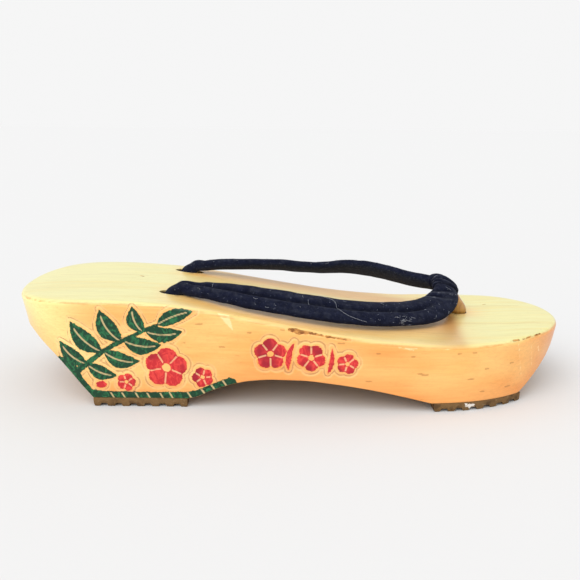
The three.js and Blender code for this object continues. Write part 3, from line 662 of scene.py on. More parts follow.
def blossomEdges(u, w, blossom):
    # Distance to the edge of a five-petalled blossom and to its carved heart and petal lines: the
    # edge's radius follows a cosine with five lobes, and the lines are rays between them
    x, z, radius, turn = blossom
    reach = np.hypot(u - x, w - z)
    angle = np.arctan2(w - z, u - x) - math.radians(turn)
    lobes = 0.74 + 0.26 * np.abs(np.cos(2.5 * angle)) ** 0.6
    between = np.abs(np.sin(np.mod(angle, 2 * np.pi / 5) - np.pi / 5)) * reach
    heart = reach - 0.2 * radius
    line = np.where((reach > 0.24 * radius) & (reach < 0.8 * radius), between, decoration["far"])
    return (reach - radius * lobes) * 0.9, heart, line


def nearest(fields, far):
    # Least of several distances, and no more than far
    return np.minimum.reduce([far, *fields])


def paintFields(u, w, outer, wall):
    # Edge distances of green and red paint, of the lines cut through the paint, and of the
    # carved outlines around it. outer and wall are masks: on the outer side, on a side wall.
    far = np.full(len(u), decoration["far"])
    leaves = [leafEdges(u, w, leaf) for leaf in branchLeaves]
    stems = [strokeEdge(u, w, stroke) for stroke in branchStrokes]
    green = nearest([edge for edge, _ in leaves] + stems, far)
    ribs = nearest([np.where(edge < -0.2, rib, far) for edge, rib in leaves], far)
    branch, row = ([nearest(part, far) for part in zip(*(blossomEdges(u, w, blossom) for blossom in group))]
                   for group in (branchBlossoms, rowBlossoms))
    branch[0] = nearest([branch[0], *(strokeEdge(u, w, berry) for berry in branchBerries)], far)
    branch[2] = np.minimum(branch[2], ribs)
    row[0] = nearest([row[0], *(leafEdges(u, w, leaf)[0] for leaf in rowPetals)], far)
    red, hearts, lines = (np.minimum(np.where(outer, a, far), b) for a, b in zip(branch, row))
    green = np.where(outer, green, far)
    wander = softNoise(np.column_stack([u, w, 0 * u]), 5.0, 17)
    outlines = np.abs(np.minimum(green, red) - decoration["outline"] - decoration["outlineWander"] * wander)
    above = w - underHeight(u)
    steep = np.interp(u, [20, 30, 38, 84, 92], [0.72, 0.76, 1, 1, 0.95])
    band = (above - readRows(bandRows, 1, u)) * steep
    band = np.maximum(band, np.maximum(bandRows[0][0] - u, u - bandRows[-1][0]))
    slant = decoration["bandSlant"] * (above - 1.5)
    cuts = nearest([np.abs(u - place + slant) for place in bandCuts], far)
    cuts = np.where(above < 5.0, cuts, far)
    green = np.minimum(green, np.where(outer, band, far))
    lines = np.minimum(lines, np.where(outer & (band < 0), cuts, far))
    green, red = np.maximum(green, -hearts), np.maximum(red, -hearts)
    return [np.where(wall, part, far) for part in (green, red, lines, outlines)]


def rimStrokes():
    # The rim's flakes as strokes: each end's height is the deck's there less its depth
    return [(a, float(deckHeight(a)) - dropA, b, float(deckHeight(b)) - dropB, halfA, halfB)
            for a, dropA, b, dropB, halfA, halfB in rimFlakes]


def strokeField(u, w, strokes, mask):
    # Least distance to the edges of several strokes, and far where the mask is off
    far = np.full(len(u), decoration["far"])
    return np.where(mask, nearest([strokeEdge(u, w, stroke) for stroke in strokes], far), far)


# Materials


def addNode(tree, kind, values=None, links=None, **settings):
    # Node of a kind with its settings, its constants and its links
    made = tree.nodes.new(kind)
    for name, value in settings.items():
        setattr(made, name, value)
    for socket, value in (values or {}).items():
        made.inputs[socket].default_value = value
    for socket, source in (links or {}).items():
        tree.links.new(source, made.inputs[socket])
    return made


def plug(tree, socket, value):
    # A socket is linked, and a number is set
    if isinstance(value, bpy.types.NodeSocket):
        tree.links.new(value, socket)
    else:
        socket.default_value = value


def calc(tree, operation, *values, clamp=False):
    # Result of a math node, such as a product, a sum, or a product with a sum after it
    made = addNode(tree, "ShaderNodeMath", operation=operation, use_clamp=clamp)
    for socket, value in zip(made.inputs, values):
        plug(tree, socket, value)
    return made.outputs[0]


def times(tree, first, second):
    # Product of two values
    return calc(tree, "MULTIPLY", first, second)


def mixColour(tree, factor, first, second, blend="MIX"):
    # First colour times what the factor leaves, plus the blended second times the factor
    made = addNode(tree, "ShaderNodeMix", data_type="RGBA", blend_type=blend, clamp_factor=True)
    plug(tree, made.inputs[0], factor)
    for socket, value in ((made.inputs[6], first), (made.inputs[7], second)):
        plug(tree, socket, value if isinstance(value, bpy.types.NodeSocket) else (*value, 1))
    return made.outputs[2]


def tinted(tree, colour, tint):
    # Product of two colours
    return mixColour(tree, 1.0, colour, tint, "MULTIPLY")


def layered(tree, colour, layers):
    # Colours laid over one another in turn, each by its mask times its strength
    for mask, strength, over in layers:
        colour = mixColour(tree, mask if strength == 1 else times(tree, mask, strength), colour, over)
    return colour


def grey(tree, value):
    # Colour with one value in all three channels
    return addNode(tree, "ShaderNodeCombineColor", links={0: value, 1: value, 2: value}).outputs[0]


def facingUp(tree):
    # Upward part of the surface's normal
    normal = addNode(tree, "ShaderNodeNewGeometry").outputs["Normal"]
    return addNode(tree, "ShaderNodeSeparateXYZ", links={0: normal}).outputs[2]


def dress(tree, shader, colour, height, strength, distance):
    # Links a shader's colour and a bump of its height
    bump = addNode(tree, "ShaderNodeBump", {"Strength": strength, "Distance": distance}, {"Height": height})
    tree.links.new(colour, shader.inputs["Base Color"])
    tree.links.new(bump.outputs[0], shader.inputs["Normal"])


def ramp(tree, value, fromLow, fromHigh, toLow=0.0, toHigh=1.0):
    # Smooth step from toLow to toHigh while the value goes from fromLow to fromHigh
    made = addNode(tree, "ShaderNodeMapRange", interpolation_type="SMOOTHSTEP")
    for socket, number in zip(made.inputs, (value, fromLow, fromHigh, toLow, toHigh)):
        plug(tree, socket, number)
    return made.outputs[0]


def field(tree, name):
    # Value of a named attribute
    return addNode(tree, "ShaderNodeAttribute", attribute_name=name).outputs["Fac"]


def placed(tree, stretch):
    # Object coordinates in millimetres, stretched by a factor along each axis
    coordinates = addNode(tree, "ShaderNodeTexCoord").outputs["Object"]
    scale = tuple(1000 * part for part in stretch)
    return addNode(tree, "ShaderNodeMapping", {"Scale": scale}, {"Vector": coordinates}).outputs[0]


def noise(tree, vector, scale, detail=3.0, roughness=0.55, distortion=0.0):
    # Fractal noise at a vector times a scale
    values = {"Scale": scale, "Detail": detail, "Roughness": roughness, "Distortion": distortion}
    return addNode(tree, "ShaderNodeTexNoise", values, {"Vector": vector}).outputs[0]


def grain(tree, stretch, *fineness):
    # Fractal noise at stretched coordinates; fineness is its detail, roughness and distortion
    return noise(tree, placed(tree, stretch), 1.0, *fineness)


def patches(tree, stretch, low, high, *fineness):
    # Smooth step of the stretched noise between two of its levels
    return ramp(tree, grain(tree, stretch, *fineness), low, high)


def newGroup(name, vectors, floats, *outputs):
    # Empty node group with vector inputs, float inputs at their constants, and float outputs
    tree = bpy.data.node_groups.new(name, "ShaderNodeTree")
    for socket in vectors:
        tree.interface.new_socket(socket, in_out="INPUT", socket_type="NodeSocketVector")
    for socket, value in floats.items():
        made = tree.interface.new_socket(socket, in_out="INPUT", socket_type="NodeSocketFloat")
        made.default_value = value
    for socket in outputs:
        tree.interface.new_socket(socket, in_out="OUTPUT", socket_type="NodeSocketFloat")
    return tree, addNode(tree, "NodeGroupInput").outputs


def speckleGroup():
    # Fine grain of a surface: a colour factor around 1 and a height, from two sizes of noise
    floats = {"Spread": 0.2, "Fine scale": 3.0, "Broad scale": 0.2}
    tree, inputs = newGroup("fineGrain", ["Vector"], floats, "Factor", "Height")
    fine, broad = (
        addNode(tree, "ShaderNodeTexNoise", {"Detail": detail},
                {"Vector": inputs["Vector"], "Scale": inputs[scale]})
        for detail, scale in ((2.0, "Fine scale"), (3.0, "Broad scale")))
    both = calc(tree, "ADD", *(calc(tree, "SUBTRACT", part.outputs[0], 0.5) for part in (fine, broad)))
    factor = calc(tree, "MULTIPLY_ADD", both, inputs["Spread"], 1.0)
    addNode(tree, "NodeGroupOutput", links={"Factor": factor, "Height": fine.outputs[0]})
    return tree


def dustGroup():
    # Pale dust and lint that gathers on faces that look up, broken by noise
    tree, inputs = newGroup("settledDust", ["Vector"], {"Amount": 0.2}, "Mask")
    clouds = ramp(tree, noise(tree, inputs["Vector"], 0.35, 4.0), 0.45, 0.75)
    specks = ramp(tree, noise(tree, inputs["Vector"], 2.4, 1.0), 0.62, 0.78)
    both = calc(tree, "MAXIMUM", times(tree, clouds, 0.6), specks)
    upward = ramp(tree, facingUp(tree), -0.1, 0.9)
    mask = times(tree, times(tree, both, upward), inputs["Amount"])
    addNode(tree, "NodeGroupOutput", links={"Mask": mask})
    return tree


def segmentGroup():
    # Distance from a place to the edge of a straight round-ended stroke of one half width: the
    # share along the stroke is a quotient of dot products, kept from 0 to 1
    tree, inputs = newGroup("strokeDistance", ["Vector", "Start", "End"], {"Half": 0.2}, "Distance")

    def vector(operation, *values):
        # Vector math node
        made = addNode(tree, "ShaderNodeVectorMath", operation=operation)
        for socket, value in zip(made.inputs, values):
            tree.links.new(value, socket)
        return made

    fromStart = vector("SUBTRACT", inputs["Vector"], inputs["Start"]).outputs[0]
    whole = vector("SUBTRACT", inputs["End"], inputs["Start"]).outputs[0]
    dot, square = (vector("DOT_PRODUCT", part, whole).outputs["Value"] for part in (fromStart, whole))
    share = calc(tree, "DIVIDE", dot, square, clamp=True)
    foot = vector("SCALE", whole)
    tree.links.new(share, foot.inputs["Scale"])
    reach = vector("LENGTH", vector("SUBTRACT", fromStart, foot.outputs[0]).outputs[0]).outputs["Value"]
    addNode(tree, "NodeGroupOutput", links={"Distance": calc(tree, "SUBTRACT", reach, inputs["Half"])})
    return tree


def deckStrokes(tree, strokes, low, high, ragged):
    # Mask of strokes drawn on the deck, seen from above: full inside low and gone beyond high
    plan = placed(tree, (1, 1, 0))
    shift = Vector((float(tipShift[0]), float(tipShift[1]), 0))
    least = None
    for x, y, endX, endY, half in strokes:
        ends = {"Start": Vector((x, y, 0)) + shift, "End": Vector((endX, endY, 0)) + shift}
        edge = useGroup(tree, strokeDistance, Vector=plan, Half=half, **ends)["Distance"]
        least = edge if least is None else calc(tree, "MINIMUM", least, edge)
    return ramp(tree, calc(tree, "ADD", least, ragged), high, low)


def useGroup(tree, group, **values):
    # Outputs of a group whose inputs are set or linked by name, a space for each underscore
    made = addNode(tree, "ShaderNodeGroup", node_tree=group)
    for name, value in values.items():
        plug(tree, made.inputs[name.replace("_", " ")], value)
    return made.outputs


def newMaterial(name, **constants):
    # Material with the shader's constants set by name, a space for each underscore
    material = bpy.data.materials.new(name)
    material.use_nodes = True
    shader = material.node_tree.nodes["Principled BSDF"]
    for socket, value in constants.items():
        shader.inputs[socket.replace("_", " ")].default_value = value
    return material, material.node_tree, shader


wood = {
    "side": (0.86, 0.418, 0.118), "sideDeep": (0.83, 0.36, 0.090), "sidePale": (0.88, 0.49, 0.160),
    "deck": (0.655, 0.615, 0.275), "deckDeep": (0.655, 0.575, 0.225), "fleck": (0.30, 0.12, 0.03),
    "raw": (0.22, 0.080, 0.020), "rawPale": (0.52, 0.235, 0.060), "hole": (0.028, 0.014, 0.008),
    "under": (0.60, 0.33, 0.12),
    "green": (0.004, 0.042, 0.018), "greenPale": (0.018, 0.14, 0.050),
    "red": (0.50, 0.018, 0.024), "redPale": (0.68, 0.050, 0.042), "redDeep": (0.33, 0.010, 0.022),
    "cut": (0.97, 0.68, 0.34), "groove": (0.42, 0.20, 0.07), "rim": (0.58, 0.27, 0.07),
    "stainAndShadow": (0.48, 0.235, 0.075), "shade": (1.19, 0.745, 0.57), "litColour": (0.90, 0.80, 0.34),
    "low": (0.93, 0.76, 0.70), "soil": (0.52, 0.25, 0.085), "coat": 0.25,
}


def woodMaterial():
    # Colours of the side and the deck from bands of noise, tinted by the fields, with each mark and
    # paint laid over them in turn; bare and sunken marks are also rougher and lower
    material, tree, shader = newMaterial("varnishedWood", Coat_Roughness=0.2, Specular_IOR_Level=0.2)
    plain = placed(tree, (1, 1, 1))
    streaks = grain(tree, (0.05, 0.9, 1.3), 4.0, 0.6, 0.4)
    bands = grain(tree, (0.012, 0.11, 0.17), 3.0, 0.5, 0.7)
    deckness = field(tree, "deckness")
    cloud = patches(tree, (0.02, 0.03, 0.05), 0.42, 0.68, 2.0)
    # Grain bands and paler clouds on the side, then painted light towards the heel end
    side = layered(tree, wood["side"], [
        (ramp(tree, bands, 0.38, 0.66), 1, wood["sideDeep"]), (cloud, 1, wood["sidePale"]),
        (field(tree, "paintedLight"), 1, wood["litColour"])])
    # Painted shade along the lower edge and at the toe end of the side, and darker around its middle
    side = tinted(tree, side, mixColour(tree, field(tree, "low"), (1, 1, 1), wood["low"]))
    deck = mixColour(tree, ramp(tree, bands, 0.42, 0.68), wood["deck"], wood["deckDeep"])
    # Painted shade under and beside the straps and round the post's foot as a warm darker tint, and the same
    # tint over the middle of the deck
    deck = tinted(tree, deck, mixColour(tree, field(tree, "strapShade"), (1, 1, 1), wood["shade"]))
    # Brown stain and painted shadow beside the toe post
    deck = mixColour(tree, field(tree, "stainAndShadow"), deck, wood["stainAndShadow"])
    # Side and deck by the deck mask: the deck's paler, greener colour is partly the varnished wood's own and
    # partly painted light on the top
    colour = mixColour(tree, deckness, side, deck)
    colour = tinted(tree, colour, grey(tree, ramp(tree, streaks, 0.3, 0.7, 0.93, 1.03)))
    ragged = calc(tree, "MULTIPLY_ADD", noise(tree, plain, 0.8, 3.0, 0.6), 0.9, -0.45)

    def mask(name, low, high, rough=1.0):
        # Inside of a ragged edge: full at a distance of low and gone at high
        return ramp(tree, calc(tree, "MULTIPLY_ADD", ragged, rough, field(tree, name)), high, low)

    def marks(strokes, low, high, rough):
        # Strokes on the deck alone
        edge = times(tree, ragged, rough) if rough else 0.0
        return times(tree, deckStrokes(tree, strokes, low, high, edge), ramp(tree, deckness, 0.4, 0.9))

    soil = patches(tree, (0.7, 1.0, 1.1), 0.5, 0.72, 4.0, 0.75)
    soil = times(tree, soil, ramp(tree, deckness, 0.0, 1.0, 0.2, 0.05))
    pores = patches(tree, (0.22, 2.6, 3.2), 0.66, 0.74, 2.0, 0.5)
    mouthX = float(postFoot[0]) - post["uprightBend"]
    # Painted contact shadow round the post's foot, as a stroke on the deck
    postContactShadow = (mouthX - 0.3, -0.35, mouthX + 0.3, -0.35, post["diameter"] / 2)
    rimBreak = patches(tree, (0.06, 0.3, 0.8), 0.42, 0.6, 4.0, 0.65)
    rimMask = times(tree, mask("rimEdge", 0.15, 0.65, 0.5), rimBreak)
    broken = ramp(tree, noise(tree, plain, 0.16, 2.0), 0.36, 0.52)
    broken = calc(tree, "MULTIPLY_ADD", broken, 0.75, 0.25)
    grooveMask = times(tree, mask("outlineEdge", 0.12, 0.42, 0.35), broken)
    strokes = grain(tree, (0.5, 0.5, 0.35), 3.0, 0.6, 1.2)
    green = mixColour(tree, ramp(tree, strokes, 0.48, 0.66), wood["green"], wood["greenPale"])
    red = mixColour(tree, ramp(tree, strokes, 0.42, 0.62), wood["red"], wood["redPale"])
    red = mixColour(tree, ramp(tree, noise(tree, plain, 0.11, 2.0), 0.5, 0.66), red, wood["redDeep"])
    brushed = calc(tree, "MULTIPLY_ADD", grain(tree, (0.55, 0.55, 1.0), 4.0, 0.7, 0.6), 1.7, -0.85)
    greenMask, redMask = (
        ramp(tree, calc(tree, "ADD", field(tree, name), brushed), 0.14, -0.12)
        for name in ("greenEdge", "redEdge"))
    cutMask = mask("lineEdge", 0.2, 0.5, 0.3)
    rawMask = calc(tree, "MAXIMUM", mask("flakeEdge", -0.12, 0.15), marks(deckNicks, -0.05, 0.2, 0.6))
    raw = mixColour(tree, patches(tree, (0.35, 0.8, 0.9), 0.42, 0.58, 2.0), wood["raw"], wood["rawPale"])
    holeShading, under = field(tree, "holeShadeMask"), field(tree, "underness")
    colour = layered(tree, colour, [
        (soil, 1, wood["soil"]),
        (pores, 0.25, wood["fleck"]),
        (mask("fleckEdge", -0.1, 0.22, 0.7), 0.5, wood["fleck"]),
        (mask("paleEdge", -0.35, 0.25), 0.8, wood["cut"]),
        (marks(grainLines, 0.0, 0.5, 0.4), 0.28, wood["fleck"]),
        # Painted contact shadow at the post's foot
        (marks([postContactShadow], -0.1, 0.3, 0), 0.85, wood["hole"]),
        (rimMask, 0.8, wood["rim"]),
        # Pale line beside each carved outline: partly cut wood, partly painted highlight
        (mask("outlineEdge", 0.45, 1.0, 0.4), 0.22, wood["cut"]),
        # Painted shade in the carved grooves
        (grooveMask, 0.6, wood["groove"]),
        (greenMask, 1, green),
        (redMask, 1, red),
        (cutMask, 0.5, wood["cut"]),
        (rawMask, 1, raw),
        # Painted shade inside the holes
        (holeShading, 1, wood["hole"]),
        (under, 1, wood["under"]),
    ])
    paint = calc(tree, "MAXIMUM", greenMask, redMask)
    bare = calc(tree, "MAXIMUM", calc(tree, "MAXIMUM", rawMask, holeShading), under, clamp=True)
    rough = calc(tree, "MULTIPLY_ADD", bare, 0.3, calc(tree, "MULTIPLY_ADD", paint, 0.05, 0.36))
    tree.links.new(rough, shader.inputs["Roughness"])
    coat = calc(tree, "SUBTRACT", wood["coat"], times(tree, bare, wood["coat"]), clamp=True)
    tree.links.new(coat, shader.inputs["Coat Weight"])
    height = calc(tree, "MULTIPLY_ADD", streaks, 0.10, times(tree, paint, 0.25))
    for sunken, depth in ((grooveMask, 0.8), (cutMask, 0.4), (rawMask, 0.9), (pores, 0.15)):
        height = calc(tree, "SUBTRACT", height, times(tree, sunken, depth))
    dress(tree, shader, colour, height, 0.7, 0.0003)
    return material


velvet = {
    "navy": (0.0060, 0.0075, 0.0185), "napAndTopLight": (0.024, 0.028, 0.048), "lining": (0.0120, 0.0160, 0.034),
    "liningPale": (0.050, 0.056, 0.074), "channel": (0.002, 0.0025, 0.006), "lint": (0.34, 0.36, 0.40),
    "tint": (0.46, 0.50, 0.66), "speck": (0.11, 0.12, 0.16),
}


def velvetMaterial():
    # Navy pile with paler patches, which grow into a painted highlight on faces that look up, and paler
    # on the lining, times a fine grain, with specks, painted shade in the channels and creases, dust,
    # rubbed ridges that are partly painted sheen, and lint laid over it in turn
    material, tree, shader = newMaterial(
        "navyVelvet", Roughness=0.95, Specular_IOR_Level=0.05, Sheen_Weight=0.09, Sheen_Roughness=0.4,
        Sheen_Tint=(*velvet["tint"], 1))
    plain = placed(tree, (1, 1, 1))
    fine = useGroup(tree, fineGrain, Vector=plain, Spread=1.2, Fine_scale=2.2, Broad_scale=0.5)
    napAndTopLight = patches(tree, (0.08, 0.3, 0.3), 0.46, 0.74, 3.0)
    # Painted highlight: the pile's paler patches grow on faces that look up
    napAndTopLight = times(tree, napAndTopLight, ramp(tree, facingUp(tree), -0.2, 0.9, 0.35, 1.0))
    lining = ramp(tree, noise(tree, plain, 1.7, 2.0), 0.54, 0.72)
    lining = mixColour(tree, lining, velvet["lining"], velvet["liningPale"])
    colour = layered(tree, velvet["navy"], [(napAndTopLight, 0.28, velvet["napAndTopLight"]), (field(tree, "lining"), 1, lining)])
    colour = layered(tree, tinted(tree, colour, grey(tree, fine["Factor"])), [
        (ramp(tree, noise(tree, plain, 1.1, 1.0), 0.68, 0.78), 0.4, velvet["speck"]),
        # Painted shade in the channel between the rolls and in the creases
        (field(tree, "channel"), 0.75, velvet["channel"]),
        (useGroup(tree, settledDust, Vector=plain, Amount=0.07)["Mask"], 1, velvet["lint"]),
        # Rubbed ridges beside the folds: rubbed pile and painted sheen
        (field(tree, "rubbedAndSheen"), 0.5, velvet["lint"]),
        (field(tree, "lint"), 1, velvet["lint"]),
    ])
    dress(tree, shader, colour, fine["Height"], 0.6, 0.0003)
    return material


plastic = {"tan": (0.40, 0.205, 0.045), "deep": (0.30, 0.140, 0.030), "scuff": (0.48, 0.29, 0.11)}


def plasticMaterial():
    # Tan with deeper streaks along the tube, and rougher, paler scuffs with less coat
    material, tree, shader = newMaterial(
        "tanVinyl", Specular_IOR_Level=0.5, Coat_Roughness=0.08, Subsurface_Weight=0.05,
        Subsurface_Scale=0.002)
    fine = useGroup(
        tree, fineGrain, Vector=placed(tree, (1, 1, 1)), Spread=0.25, Fine_scale=1.2, Broad_scale=0.25)
    scuffs = patches(tree, (2.0, 2.0, 0.4), 0.66, 0.8, 2.0)
    streaks = patches(tree, (1.2, 1.2, 0.12), 0.4, 0.7, 3.0)
    colour = layered(tree, plastic["tan"], [(streaks, 1, plastic["deep"]), (scuffs, 0.4, plastic["scuff"])])
    tree.links.new(calc(tree, "MULTIPLY_ADD", scuffs, 0.25, 0.2), shader.inputs["Roughness"])
    tree.links.new(ramp(tree, scuffs, 0.0, 1.0, 0.3, 0.1), shader.inputs["Coat Weight"])
    dress(tree, shader, colour, fine["Height"], 0.15, 0.0002)
    return material


rubber = {
    "brown": (0.165, 0.092, 0.034), "deep": (0.085, 0.045, 0.017), "dust": (0.40, 0.30, 0.19),
    "glue": (0.72, 0.68, 0.62),
}


def rubberMaterial():
    # Two browns times a fine grain, with scraped places, dust and dried glue laid over them
    material, tree, shader = newMaterial("brownRubber", Specular_IOR_Level=0.25)
    plain = placed(tree, (1, 1, 1))
    fine = useGroup(tree, fineGrain, Vector=plain, Spread=0.5, Fine_scale=3.2, Broad_scale=0.15)
    blotches = ramp(tree, noise(tree, plain, 0.25, 3.0), 0.45, 0.7)
    colour = mixColour(tree, blotches, rubber["brown"], rubber["deep"])
    glueEdge = calc(tree, "ADD", field(tree, "glueEdge"), -0.45)
    glueEdge = calc(tree, "MULTIPLY_ADD", noise(tree, plain, 1.4, 2.0), 0.9, glueEdge)
    glue = ramp(tree, glueEdge, 0.2, -0.1)
    colour = layered(tree, tinted(tree, colour, grey(tree, fine["Factor"])), [
        (patches(tree, (0.5, 0.15, 0.9), 0.6, 0.78, 3.0), 0.4, rubber["dust"]),
        (useGroup(tree, settledDust, Vector=plain, Amount=0.4)["Mask"], 1, rubber["dust"]),
        (glue, 1, rubber["glue"]),
    ])
    tree.links.new(calc(tree, "MULTIPLY_ADD", glue, -0.25, 0.85), shader.inputs["Roughness"])
    dress(tree, shader, colour, calc(tree, "MULTIPLY_ADD", glue, 0.8, fine["Height"]), 0.45, 0.00025)
    return material


# Wooden sole

soleGrid = {"heel": 64, "painted": 270, "plain": 56, "toe": 92, "rim": 5, "wall": 58, "lower": 3, "across": 18}
relief = {"deckWave": 0.05, "deckWaveSize": 9.0, "wallWave": 0.06, "wallWaveSize": 7.0}


def soleShell():
    # Rows of the outline's ring from the deck's edge over the rounding, down the wall and round the
    # lower edge, with ladders of points across the deck and across the underside
    stations = soleStations(soleGrid["heel"], soleGrid["painted"], soleGrid["plain"], soleGrid["toe"])
    ring, normal = soleRing(stations)
    count, stationCount = len(ring), len(stations)
    top, foot = wallLine(ring, normal)
    rows = []
    for angle in np.linspace(np.pi / 2, 0, soleGrid["rim"] + 1)[:-1]:
        flat = ring - normal * sole["deckEdge"] * (1 - math.cos(angle))
        level = deckHeight(flat[:, 0]) - sole["deckEdge"] * (1 - math.sin(angle))
        rows.append(np.column_stack([flat, level]))
    fall = top[:, 2] - foot[:, 2]
    bottom = underHeight(top[:, 0])
    for _ in range(8):  # the wall's lean moves its lower end along the sole
        share = (top[:, 2] - bottom) / fall
        bottom = underHeight((top + share[:, None] * (foot - top))[:, 0])
    lowerEdge = sole["lowerEdge"]
    shareEnd = (top[:, 2] - bottom - lowerEdge) / fall
    wallRows = np.linspace(0, 1, soleGrid["wall"] + 1)[:, None, None] * shareEnd[None, :, None]
    wallFirst = len(rows)
    rows.extend(top[None] + wallRows * (foot - top)[None])
    for angle in np.linspace(0, np.pi / 2, soleGrid["lower"] + 1)[1:]:
        left = lowerEdge * (1 - math.sin(angle))
        share = (top[:, 2] - bottom - left) / fall
        line = top + share[:, None] * (foot - top)
        line[:, :2] -= normal * lowerEdge * (1 - math.cos(angle))
        line[:, 2] = underHeight(line[:, 0]) + left
        rows.append(line)
    inner = rows[-1].copy()
    inner[:, :2] -= normal * 0.5
    inner[:, 2] = underHeight(inner[:, 0])
    rows.append(inner)
    points = np.array(rows)
    wallRange = slice(wallFirst - 2, wallFirst + soleGrid["wall"] - 1)
    outer = np.broadcast_to(np.arange(count) < stationCount, points[wallRange].shape[:2])
    points[wallRange, :, :2] -= normal[None] * wallRelief(points[wallRange], outer)[..., None]
    flatRows = points.reshape(-1, 3)
    steps = np.linspace(0, 1, soleGrid["across"] + 1)[1:-1]
    size = len(steps)

    def ladder(row, height, first):
        # Grid across the sole between the two points of a row that share a station, with a fan of
        # triangles at the heel tip and at the toe tip; the new points are numbered from first
        near = row * count + np.arange(1, stationCount - 1)
        far = row * count + (count - np.arange(1, stationCount - 1))
        start, end = flatRows[near], flatRows[far]
        between = start[:, None] + steps[None, :, None] * (end - start)[:, None]
        between[..., 2] = height(between[..., 0])
        middle = first + np.arange(len(near) * size).reshape(len(near), size)
        grid = np.concatenate([near[:, None], middle, far[:, None]], 1)
        quads = np.stack([grid[:-1, :-1], grid[1:, :-1], grid[1:, 1:], grid[:-1, 1:]], -1).reshape(-1, 4)
        heel, toe = np.full(size + 1, row * count), np.full(size + 1, row * count + stationCount - 1)
        fans = (heel, grid[0, :-1], grid[0, 1:]), (grid[-1, :-1], toe, grid[-1, 1:])
        return between, quads, np.concatenate([np.stack(fan, -1) for fan in fans])

    deck, deckQuads, deckTriangles = ladder(0, deckHeight, len(flatRows))
    deck[..., 2] += relief["deckWave"] * softNoise(deck, relief["deckWaveSize"], 3)
    first = len(flatRows) + deck.size // 3
    under, underQuads, underTriangles = ladder(len(rows) - 1, underHeight, first)
    return (
        np.concatenate([flatRows, deck.reshape(-1, 3), under.reshape(-1, 3)]),
        np.concatenate([gridFaces(len(rows), count), deckQuads, underQuads[:, ::-1]]),
        np.concatenate([deckTriangles, underTriangles[:, ::-1]]))


def wallRelief(wall, outer):
    # How far carved outlines, lines in the paint and flaked patches push the wall in: a bell across
    # each line, half as deep for the lines in the paint, a smooth step at each patch, and a wave
    points = wall.reshape(-1, 3)
    u, w, outer = points[:, 0], points[:, 2], outer.ravel()
    _, _, lines, outlines = paintFields(u, w, outer, np.ones(len(u), bool))
    flakes = strokeField(u, w, flakeStrokes + rimStrokes(), outer)
    flakes = flakes + decoration["flakeRagged"] * softNoise(points, 0.9, 5)
    inward = decoration["grooveDepth"] * np.exp(-((outlines / decoration["grooveHalf"]) ** 2))
    inward += 0.5 * decoration["grooveDepth"] * np.exp(-((lines / decoration["grooveHalf"]) ** 2))
    inward += decoration["flakeDepth"] * smooth(0.2, -0.3, flakes)
    inward += relief["wallWave"] * softNoise(points, relief["wallWaveSize"], 11)
    return inward.reshape(wall.shape[:2])


def cutterPart(centres, lengths, widths, frames, sides=64):
    # Closed bar through oval rings, each in its own plane, from the top ring down
    angle = np.linspace(0, 2 * np.pi, sides, endpoint=False)
    rings = [np.asarray(c) + np.outer(np.cos(angle) * a, f[0]) + np.outer(np.sin(angle) * b, f[1])
             for c, a, b, f in zip(centres, lengths, widths, frames)]
    points = np.concatenate([*rings, centres[:1], centres[-1:]])
    return points, gridFaces(len(rings), sides), endFans(len(rings), sides)


flatFrame = (np.array([1.0, 0, 0]), np.array([0, 1.0, 0]))


def rearCutter(side):
    # Oval mouth with a rounded lip, narrowing to a round bore at the throat, then the knot's recess
    mouth, outlet, axis = rearHole(side)
    throat = mouth + hole["throatShare"] * (outlet - mouth)
    recessTop = outlet - axis * hole["recessDepth"]
    bore, lip, recess = hole["bore"] / 2, hole["lip"], hole["recess"] / 2
    square = (unit(np.array([axis[2], 0, -axis[0]])) * -1, np.array([0, 1.0, 0]))
    down = axis * lip / axis[2]
    centres = [mouth + [0, 0, 4], mouth, mouth - down * 0.5, mouth - down * 1.4,
               throat, recessTop - axis * 0.02, recessTop, outlet + axis * 12]
    lengths, widths = (
        [half + lip, half + lip, half + 0.25 * lip, half, bore, bore, recess, recess]
        for half in (hole["rearLength"] / 2, hole["rearWidth"] / 2))
    return cutterPart(np.array(centres), lengths, widths, [flatFrame] * 5 + [square] * 3)


def toeCutter():
    # Bore that follows the post's bent and tucked foot: a round bar cut level is longer than wide by
    # the axis's rise, and the recess below is round
    bore, lip = post["diameter"] / 2 + hole["postClearance"], hole["toeLip"]
    recess = hole["recess"] / 2
    recessTop = toeKnot * [1, 1, 0] + [0, 0, treadTop + hole["recessDepth"]]
    entry = postFoot + postAxis * (recessTop[2] - postFoot[2]) / postAxis[2]
    mouth = postFoot - [post["uprightBend"], 0, 0]
    straight = postFoot - postAxis * post["straightDepth"]
    centres = [mouth + postAxis * 8, mouth, mouth - postAxis * lip, straight,
               entry + [0, 0, 0.02], recessTop, recessTop * [1, 1, 0] + [0, 0, treadTop - 2]]
    widths = [bore + lip, bore + lip, bore, bore, bore, recess, recess]
    tucked = (1 - post["footTuck"]) / postAxis[2]
    stretch = [tucked] * 3 + [1 / postAxis[2]] * 2 + [1] * 2
    lengths = [width * factor for width, factor in zip(widths, stretch)]
    return cutterPart(np.array(centres), lengths, widths, [flatFrame] * 7)


# Stain and painted shadow beside the toe post: a line on the deck (x, y, end x, y) and its spread to
# either side, the spread of the painted shade inside and outside each strap, and the darker, warmer
# middle of the deck
stainAndShadow = {
    "line": (190.5, -2.0, 183.5, -48.0), "toeSpread": 3.6, "heelSpread": 10.5,
    "innerSpread": 13.0, "outerSpread": 21.0,
    "middleTint": 0.42, "middleTintHeel": (56.0, 84.0), "middleTintToe": (205.0, 172.0),
}
planSteps = 200  # points along each strap's line in plan


